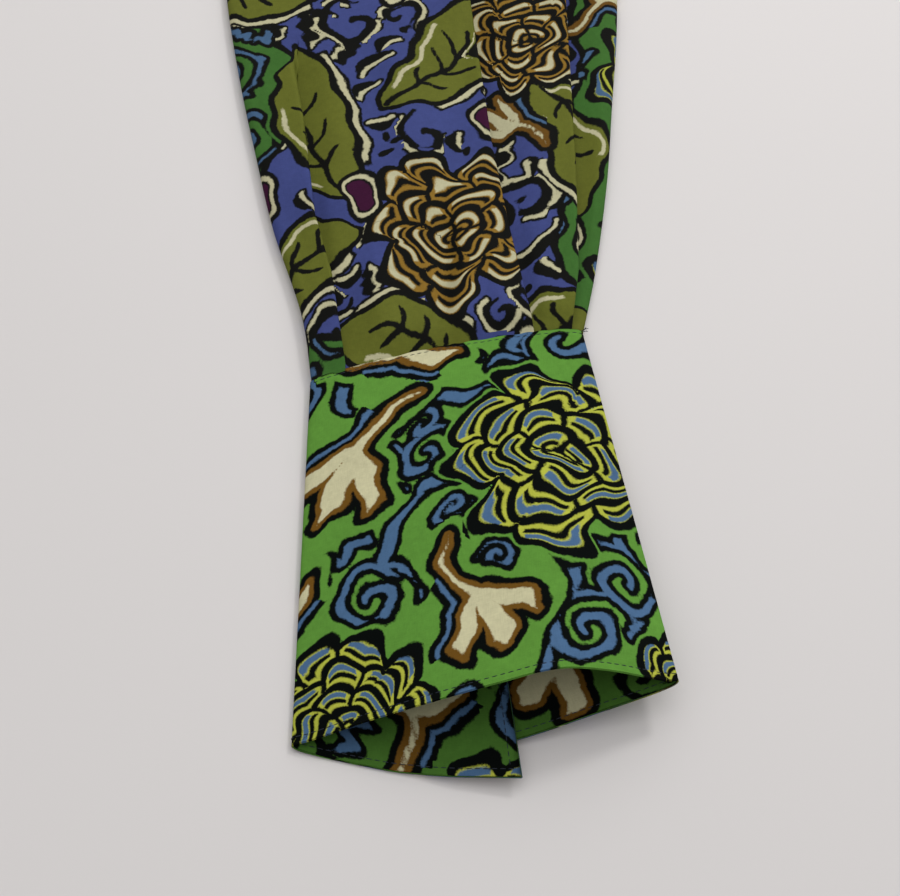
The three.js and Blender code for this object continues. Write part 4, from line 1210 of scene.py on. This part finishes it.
threads = {}
for node, lines in (("cuff_left", cuffLines(1)), ("cuff_right", cuffLines(-1)),
                    ("front_left", bodyLines(1)), ("front_right", bodyLines(-1)),
                    ("placket", bandLines()), ("collar", collarLines())):
    threads[node] = threadObject("stitches_" + node, lines)
threads["loose_threads"] = threadObject("loose_threads", looseLines(), sewing["loose"])
print("sewing made")

# The cut of each piece in metres, laid out flat: width, length, area and what it lies on
cuts = {
    "cuff_left": (0.320, 0.170, 0.0500, ["floor"]), "cuff_right": (0.320, 0.170, 0.0500, ["floor"]),
    "sleeve_left": (0.508, 0.470, 0.176, ["floor"]), "sleeve_right": (0.508, 0.470, 0.176, ["floor"]),
    "front_left": (0.346, 1.135, 0.308, ["back"]), "front_right": (0.319, 1.135, 0.279, ["back"]),
    "back": (0.664, 1.135, 0.582, ["floor"]), "placket": (0.032, 1.051, None, ["front_right"]),
    "collar_stand": (0.385, 0.028, None, ["back", "front_left", "front_right"]),
    "collar": (0.250, 0.240, 0.0265, ["collar_stand", "front_left", "front_right"]),
}
for node, (width, length, area, under) in cuts.items():
    sewn = [threads[node]] if node in threads else []


# Buttons, modelled once at the origin and copied
button = {"radius": 5.6, "height": 2.6, "rim": 1.1, "dish": 0.55, "dishSlope": 0.5,
          "dishFloor": 0.3, "corner": 0.35, "cornerAngle": 35, "smoothAngle": 38,
          "holeRadius": 0.75, "holeAside": 1.35, "count": 9, "firstY": -132, "pitch": 100, "z": 6.2,
          "standPlace": -9, "standUp": 0.55}


def selectFaces(mesh, choose):
    bpy.ops.mesh.select_all(action="DESELECT")
    edit = bmesh.from_edit_mesh(mesh)
    edit.faces.ensure_lookup_table()
    for face in edit.faces:
        face.select = bool(choose(face))
    edit.select_flush_mode()
    bmesh.update_edit_mesh(mesh)


def buttonShape():
    bpy.ops.object.select_all(action="DESELECT")
    bpy.ops.mesh.primitive_cylinder_add(vertices=56, radius=button["radius"] * mm,
                                        depth=button["height"] * mm, location=(0, 0, 0))
    shape = bpy.context.object
    shape.name = "button_shape"
    bpy.ops.object.mode_set(mode="EDIT")
    bpy.ops.mesh.select_mode(type="FACE")
    top = button["height"] / 2 * mm
    selectFaces(shape.data, lambda face: face.calc_center_median().z > top * 0.9)
    bpy.ops.mesh.inset(thickness=button["rim"] * mm)
    bpy.ops.mesh.inset(thickness=button["dishSlope"] * mm, depth=-button["dish"] * mm)
    bpy.ops.mesh.inset(thickness=button["dishFloor"] * mm)
    bpy.ops.object.mode_set(mode="OBJECT")
    bevel = shape.modifiers.new("rounded", "BEVEL")
    bevel.width, bevel.segments, bevel.limit_method = button["corner"] * mm, 3, "ANGLE"
    bevel.angle_limit = math.radians(button["cornerAngle"])
    bpy.ops.object.modifier_apply(modifier="rounded")
    drills = []
    for turn in (45, 135, 225, 315):
        a = math.radians(turn)
        bpy.ops.object.select_all(action="DESELECT")
        bpy.ops.mesh.primitive_cylinder_add(
            vertices=20, radius=button["holeRadius"] * mm, depth=button["height"] * 2 * mm,
            location=(math.cos(a) * button["holeAside"] * mm, math.sin(a) * button["holeAside"] * mm, 0))
        drills.append(bpy.context.object)
    for drill in drills:
        bpy.context.view_layer.objects.active = shape
        cut = shape.modifiers.new("hole", "BOOLEAN")
        cut.operation, cut.object, cut.solver = "DIFFERENCE", drill, "EXACT"
        bpy.ops.object.modifier_apply(modifier="hole")
        bpy.data.objects.remove(drill, do_unlink=True)
    bpy.ops.object.select_all(action="DESELECT")
    shape.select_set(True)
    bpy.ops.object.shade_smooth_by_angle(angle=math.radians(button["smoothAngle"]))
    return shape


def buttonPlace(k):      # where a button's middle lies, and which way its face looks
    if k < button["count"]:
        y = button["firstY"] - button["pitch"] * k + neckY
        return Vector((0, y, button["z"])) * mm, Vector((0, 0, 1))
    low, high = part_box("button_stand")
    at = button["standPlace"]
    grid = standPoint(np.array((at - 0.05, at, at + 0.05))[None], button["standUp"]
                      + np.array((-0.05, 0, 0.05))[:, None])
    face = Vector(lineOn(grid, 1)[1][1])
    return (low + high) / 2, face if face.y < 0 else -face


# two threads over the face of a button, through its four holes
def threadsOf(place, turn):
    lines = []
    for aside in (-1, 1):
        hole = button["holeAside"] * math.cos(math.pi / 4)
        path = np.array([(aside * hole, t * hole, button["height"] / 2 - button["dish"] - 0.05)
                         for t in (-1.15, -0.5, 0, 0.5, 1.15)])
        path = np.array([turn @ Vector(point) for point in path]) + np.array(place) / mm
        path[:, 1] -= neckY
        lines.append((path, np.tile(turn @ Vector((0, 0, 1)), (len(path), 1))))
    return lines


shape = buttonShape()
buttons, buttonThreads = {}, []
for k in range(button["count"] + 1):
    node = "button_" + (str(k + 1) if k < button["count"] else "stand")
    place, face = buttonPlace(k)
    turn = face.to_track_quat("Z", "Y").to_matrix()
    if k < button["count"]:      # sewn on at slightly different turns
        turn = turn @ Matrix.Rotation(math.radians(11 * math.sin(5 * k)), 3, "Z")
    mesh = shape.data.copy()
    mesh.transform(Matrix.Translation(place) @ turn.to_4x4())
    piece = ridingObject(node + "_moulded", mesh)
    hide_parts(node)
    buttons[node] = piece
    buttonThreads += threadsOf(place, turn)
bpy.data.objects.remove(shape, do_unlink=True)
threads["button_threads"] = threadObject("button_threads", buttonThreads, *sewing["buttonThread"])
print("buttons made")


# Finishes
class Value:       # one socket of a shader, used in sums like a number
    def __init__(self, shader, socket):
        self.shader, self.socket = shader, socket

    def run(self, operation, *others, clamp=False):
        settings = {"operation": operation, "use_clamp": clamp}
        return self.shader.node("ShaderNodeMath", settings, dict(enumerate((self, *others))))

    def __add__(self, other):
        return self.run("ADD", other)

    def __sub__(self, other):
        return self.run("SUBTRACT", other)

    def __rsub__(self, other):
        return self.run("MULTIPLY_ADD", -1.0, other)

    def __mul__(self, other):
        return self.run("MULTIPLY", other)

    def __abs__(self):
        return self.run("ABSOLUTE")

    def most(self, other):
        return self.run("MAXIMUM", other)

    __radd__ = __add__
    __rmul__ = __mul__


class Shader:      # the node tree of one finish, or of the room
    def __init__(self, name, world=None):
        self.owner = world or bpy.data.materials.new(name)
        self.owner.use_nodes = True
        self.tree = self.owner.node_tree
        if world is None:
            self.tree.nodes.clear()

    def node(self, kind, settings=None, sockets=None, output=0):
        made = self.tree.nodes.new(kind)
        for key, setting in (settings or {}).items():
            setattr(made, key, setting)
        for key, value in (sockets or {}).items():
            socket = made.inputs[key]
            if isinstance(value, Value):
                self.tree.links.new(value.socket, socket)
            else:
                socket.default_value = value
        return Value(self, made.outputs[output])

    def place(self):
        return self.node("ShaderNodeTexCoord", None, None, 3)

    def noise(self, source, scale, detail=2, rough=0.5):
        return self.node("ShaderNodeTexNoise", None,
                         {"Vector": source, "Scale": scale, "Detail": detail, "Roughness": rough})

    def bump(self, height, strength, distance):
        return self.node("ShaderNodeBump", None,
                         {"Height": height, "Strength": strength, "Distance": distance})

    def colours(self, amount, first, second, blend="MIX"):
        return self.node("ShaderNodeMix", {"data_type": "RGBA", "blend_type": blend},
                         {0: amount, 6: first, 7: second}, 2)

    def finish(self, base, roughness, normal, constants):
        made = self.node("ShaderNodeBsdfPrincipled", None,
                         {"Base Color": base, "Roughness": roughness, "Normal": normal, **constants})
        shown = self.tree.nodes.new("ShaderNodeOutputMaterial")
        self.tree.links.new(made.socket, shown.inputs["Surface"])
        return self.owner


printedCloth = {
    "ground": (0.047, 0.062, 0.203),
    "inks": {
        "olive": (0.119, 0.133, 0.0185), "ochre": (0.246, 0.140, 0.0205),
        "lime": (0.368, 0.395, 0.049), "blue": (0.057, 0.118, 0.222),
        "brown": (0.127, 0.061, 0.0085), "plum": (0.040, 0.0044, 0.027),
        "cream": (0.483, 0.460, 0.288), "black": (0.0034, 0.0036, 0.0028)},
    "edge": 0.34, "wobble": 0.7, "wobbleScale": 380, "fray": 0.55, "frayScale": 1500,
    "ringStep": 11.5, "threads": 2600, "threadStretch": 0.12,
    "toneLeast": 0.53, "toneCloud": 0.30, "cloudScale": 42, "toneFleck": 0.24, "fleckScale": 330,
    "toneThread": 0.20, "roughLeast": 0.70, "roughThread": 0.14,
    "bump": 0.35, "bumpDepth": 0.00012, "bumpCloud": 0.8, "bumpScale": 160,
}
# the painted lines in millimetres from a motif's edge, where below 0 is inside it
painted = {
    "groundEdge": 2.1,
    "curlBlack": (-0.8, 4.0), "curlCream": (0.5, 2.6), "curlCore": -2.5,
    "leafBlack": (0.8, 6.8), "leafCream": (2.4, 5.1), "leafEdge": (-1.2, 2.4), "leafVein": 1.45,
    "leafLight": (-5.4, -3.2),
    "drop": ((5.6, "black"), (2.9, "cream"), (0.9, "black"), (-0.3, "plum")),
    "budFringe": 3.4, "budBlack": 4.5, "budBlue": 5.2, "budEdge": (0.8, 3.4), "budBrown": 1.5,
    "budCream": -0.8,
    "rosePale": (2.5, 4.9), "roseRing": 2.0, "roseLine": (5.5, 7.7), "petalLine": 1.15,
    "roseEdge": 2.3,
}
# each slot's green ink, and a factor on the lightness of all its inks. The cuff's 1.2 is painted light:
# its outer face is drawn lighter, as if lit more than the sleeve
finishes = {
    "body_cloth": {"strength": 1.05, "green": (0.052, 0.160, 0.026), "shine": 0.08},
    "sleeve_cloth": {"strength": 1.0, "green": (0.046, 0.137, 0.025), "shine": 0.08},
    "cuff_cloth": {"strength": 1.2, "green": (0.090, 0.232, 0.034), "shine": 0.045,
                   "black": (0.0010, 0.0019, 0.0016),
                   "inside": {"strength": 1.0, "green": (0.055, 0.142, 0.022)}},
}


def clothFinish(slot, own):
    shader = Shader("printed_" + slot)
    inks = {**printedCloth["inks"], "green": own["green"]}
    if "black" in own:
        inks["black"] = own["black"]
    ink = {name: (*colour, 1) for name, colour in inks.items()}
    strength = own["strength"]
    inner = shader.node("ShaderNodeAttribute", {"attribute_name": "inner"}, None, 2)
    if "inside" in own:      # the inner face goes without the outer face's painted light, at about the sleeve's tone, so it is drawn darker
        ink["green"] = shader.colours(inner, ink["green"], (*own["inside"]["green"], 1))
        strength = inner * (own["inside"]["strength"] - strength) + strength
    place = shader.place()
    flat = shader.node("ShaderNodeUVMap", {"uv_map": "cloth"})
    cloth = printedCloth
    wobble = (shader.noise(place, cloth["wobbleScale"], 1) - 0.5) * (cloth["wobble"] * 2)
    fray = (shader.noise(place, cloth["frayScale"], 2, 0.7) - 0.5) * (cloth["fray"] * 2)
    field = {}
    for k in range(0, len(fields), 3):
        group = shader.node("ShaderNodeAttribute", {"attribute_name": "print" + "ABCD"[k // 3]}, None, 1)
        split = shader.node("ShaderNodeSeparateXYZ", None, {0: group}).socket.node
        for axis in range(3):
            name, value = fields[k + axis], Value(shader, split.outputs[axis])
            field[name] = value if name in ("ring", "kind") else value + wobble

    def cover(distance):       # 1 where the distance is below 0, with a rough painted edge
        return (distance + fray).run("MULTIPLY_ADD", -0.5 / cloth["edge"], 0.5, clamp=True)

    def band(distance, low, high):
        return cover(abs(distance - (low + high) / 2) - (high - low) / 2)

    state = {"colour": (*cloth["ground"], 1)}

    def paint(amount, name):
        state["colour"] = shader.colours(amount, state["colour"], ink[name])

    gate, beside, curl, leaf = field["gate"], field["beside"], field["curl"], field["leaf"]
    # an inner face is cut where the print's ground is all green
    onGreen = cover(field["green"]).most(inner)
    paint(onGreen, "green")
    paint(cover(abs(field["green"]) - painted["groundEdge"]) * (1 - inner), "black")
    onBlue = 1 - onGreen
    paint(band(curl, *painted["curlBlack"]) * cover(beside - 1.5) * onBlue, "black")
    paint(band(curl, *painted["curlCream"]) * cover(beside) * onBlue, "cream")
    paint(cover(curl), "black")
    paint(cover(curl - painted["curlCore"]) * onGreen, "blue")
    paint(band(leaf, *painted["leafBlack"]) * cover(gate - 1.5), "black")
    paint(band(leaf, *painted["leafCream"]) * cover(gate), "cream")
    paint(cover(leaf), "olive")
    veins = cover(field["vein"] - painted["leafVein"]) * cover(leaf + 1.5)
    paint(band(leaf, *painted["leafEdge"]).most(veins), "black")
    paint(band(leaf, *painted["leafLight"]) * cover(gate), "cream")
    for reach, name in painted["drop"]:
        paint(cover(field["drop"] - reach), name)
    bud, fringe = field["bud"], cover(gate)
    paint(cover(bud - fringe * painted["budFringe"] - painted["budBlack"]), "black")
    paint(cover(bud - painted["budBlue"]) * fringe, "blue")
    paint(band(bud, *painted["budEdge"]), "black")
    paint(cover(bud - painted["budBrown"]), "brown")
    paint(cover(bud - painted["budCream"]), "cream")
    # a rose's rings: a pale band in each, a line between them and one between petals
    rose, kind = field["rose"], field["kind"]
    inRose = cover(rose)
    base = shader.colours(kind, ink["ochre"], ink["lime"])
    pale = shader.colours(kind, ink["cream"], ink["blue"])
    state["colour"] = shader.colours(inRose, state["colour"], base)
    step = field["ring"].run("FRACT") * cloth["ringStep"]
    inPale = band(step, *painted["rosePale"]) * cover(gate) * inRose
    state["colour"] = shader.colours(inPale, state["colour"], pale)
    halfStep = cloth["ringStep"] / 2
    lines = cover(halfStep - painted["roseRing"] - abs(step - halfStep))
    lines = lines.most(band(step, *painted["roseLine"]) * cover(gate - 0.8))
    lines = lines.most(cover(abs(field["petal"]) - painted["petalLine"]))
    paint((lines * inRose).most(cover(abs(rose) - painted["roseEdge"])), "black")
    # ink lies a little unevenly, and single threads catch more or less of it
    stretch = cloth["threadStretch"]
    warp, weft = (shader.noise(shader.node("ShaderNodeMapping", None, {"Vector": flat, "Scale": scale}),
                               cloth["threads"], 1)
                  for scale in ((1.0, stretch, 1.0), (stretch, 1.0, 1.0)))
    tone = shader.noise(place, cloth["cloudScale"], 3) * cloth["toneCloud"] \
        + shader.noise(place, cloth["fleckScale"]) * cloth["toneFleck"] \
        + warp * cloth["toneThread"] + weft * cloth["toneThread"]
    # the slot's factor paints light here: the cuff's outer face is drawn lighter than its inner face and
    # the sleeve
    tone = (tone + cloth["toneLeast"]) * strength
    grey = shader.node("ShaderNodeCombineColor", None, {0: tone, 1: tone, 2: tone})
    colour = shader.colours(1.0, state["colour"], grey, "MULTIPLY")
    relief = warp + weft + shader.noise(place, cloth["bumpScale"]) * cloth["bumpCloud"]
    normal = shader.bump(relief, cloth["bump"], cloth["bumpDepth"])
    roughness = cloth["roughLeast"] + warp * cloth["roughThread"]
    return shader.finish(colour, roughness, normal, {"Specular IOR Level": own["shine"]})


cloths = {slot: clothFinish(slot, own) for slot, own in finishes.items()}
for node, piece in pieces.items():
    slot = node.split("_")[0] + "_cloth"
    slot = slot if slot in cloths else "body_cloth"
    piece.data.materials.append(cloths[slot])


def threadFinish():      # twisted polyester thread, a dull navy
    shader = Shader("sewing_thread")
    twist = shader.noise(shader.place(), 2600)
    colour = shader.colours(twist, (0.010, 0.013, 0.022, 1), (0.026, 0.034, 0.050, 1))
    return shader.finish(colour, twist * 0.2 + 0.5, shader.bump(twist, 0.4, 0.00008),
                         {"Specular IOR Level": 0.2})


def buttonFinish():      # dyed resin with a soft cloud in it
    shader = Shader("button_resin")
    place = shader.place()
    cloud, fine = shader.noise(place, 240, 3), shader.noise(place, 1800)
    colour = shader.colours(cloud, (0.008, 0.008, 0.011, 1), (0.030, 0.031, 0.042, 1))
    return shader.finish(colour, cloud * 0.16 + fine * 0.06 + 0.18, shader.bump(fine, 0.12, 0.0001), {
        "Specular IOR Level": 0.5, "Coat Roughness": 0.12, "Coat Weight": 0.3})


threadMaterial = threadFinish()
for piece in threads.values():
    piece.data.materials.append(threadMaterial)
resin = buttonFinish()
for piece in buttons.values():
    piece.data.materials.clear()
    piece.data.materials.append(resin)
print("finishes set")


# Floor and light
studio = {"floor": (0.72, 0.695, 0.690), "floorCloud": 0.97, "floorSize": 60,
          "ambient": (1.0, 0.995, 0.99), "ambientLow": 0.244, "ambientRise": 0.549, "aimUpArm": 60}
studioLights = [   # name, turn to the right of straight behind, rise, reach, size, power, tint
    ("sky", 39, 34, 3600, 3.6, 17, (1.0, 0.995, 0.99)),
    ("key", 38, 43, 2600, 0.42, 14, (1.0, 0.99, 0.975)),
    ("fill", 14, 60, 800, 1.0, 1.6, (1.0, 0.99, 0.985)),
]


def makeFloor():
    bpy.ops.object.select_all(action="DESELECT")
    bpy.ops.mesh.primitive_plane_add(size=studio["floorSize"], location=(0, 0, 0))
    floor = bpy.context.object
    floor.name = "floor"
    shader = Shader("pale_board")
    place = shader.place()
    cloud = shader.noise(place, 3)
    darker = [c * studio["floorCloud"] for c in studio["floor"]]
    base = shader.colours(cloud, (*studio["floor"], 1), (*darker, 1))
    normal = shader.bump(shader.noise(place, 900), 0.05, 0.0002)
    board = shader.finish(base, cloud * 0.1 + 0.55, normal, {"Specular IOR Level": 0.2})
    floor.data.materials.append(board)


def makeLight():
    world = bpy.data.worlds.new("room")
    bpy.context.scene.world = world
    # the room is lighter overhead than at its walls
    room = Shader("room", world)
    way = room.node("ShaderNodeTexCoord")
    rise = room.node("ShaderNodeSeparateXYZ", None, {0: way}, 2)
    strength = rise.run("MULTIPLY_ADD", studio["ambientRise"], studio["ambientLow"], clamp=True)
    shown = room.tree.nodes["Background"]
    shown.inputs["Color"].default_value = (*studio["ambient"], 1)
    room.tree.links.new(strength.socket, shown.inputs["Strength"])
    aimV = studio["aimUpArm"]
    aim = Vector(onArm(0, aimV, 0))
    for name, turn, rise, reach, size, power, tint in studioLights:
        a, e = math.radians(turn), math.radians(rise)
        place = Vector(onArm(math.sin(a) * math.cos(e) * reach, aimV + math.cos(a) * math.cos(e) * reach,
                             math.sin(e) * reach))
        data = bpy.data.lights.new(name, "AREA")
        data.shape, data.size, data.energy, data.color = "DISK", size, power, tint
        lamp = bpy.data.objects.new(name, data)
        lamp.rotation_euler = (aim - place).normalized().to_track_quat("-Z", "Y").to_euler()
        lamp.location = Vector((place.x, place.y + neckY, place.z)) * mm
        lamp.visible_camera = False
        bpy.context.scene.collection.objects.link(lamp)
    bpy.context.scene.view_settings.view_transform = "Standard"


makeFloor()
makeLight()
print("floor and light made")

shown = [piece for piece in bpy.data.objects if piece.type == "MESH" and not piece.hide_render]
print("triangles", sum(len(face.vertices) - 2 for piece in shown for face in piece.data.polygons))
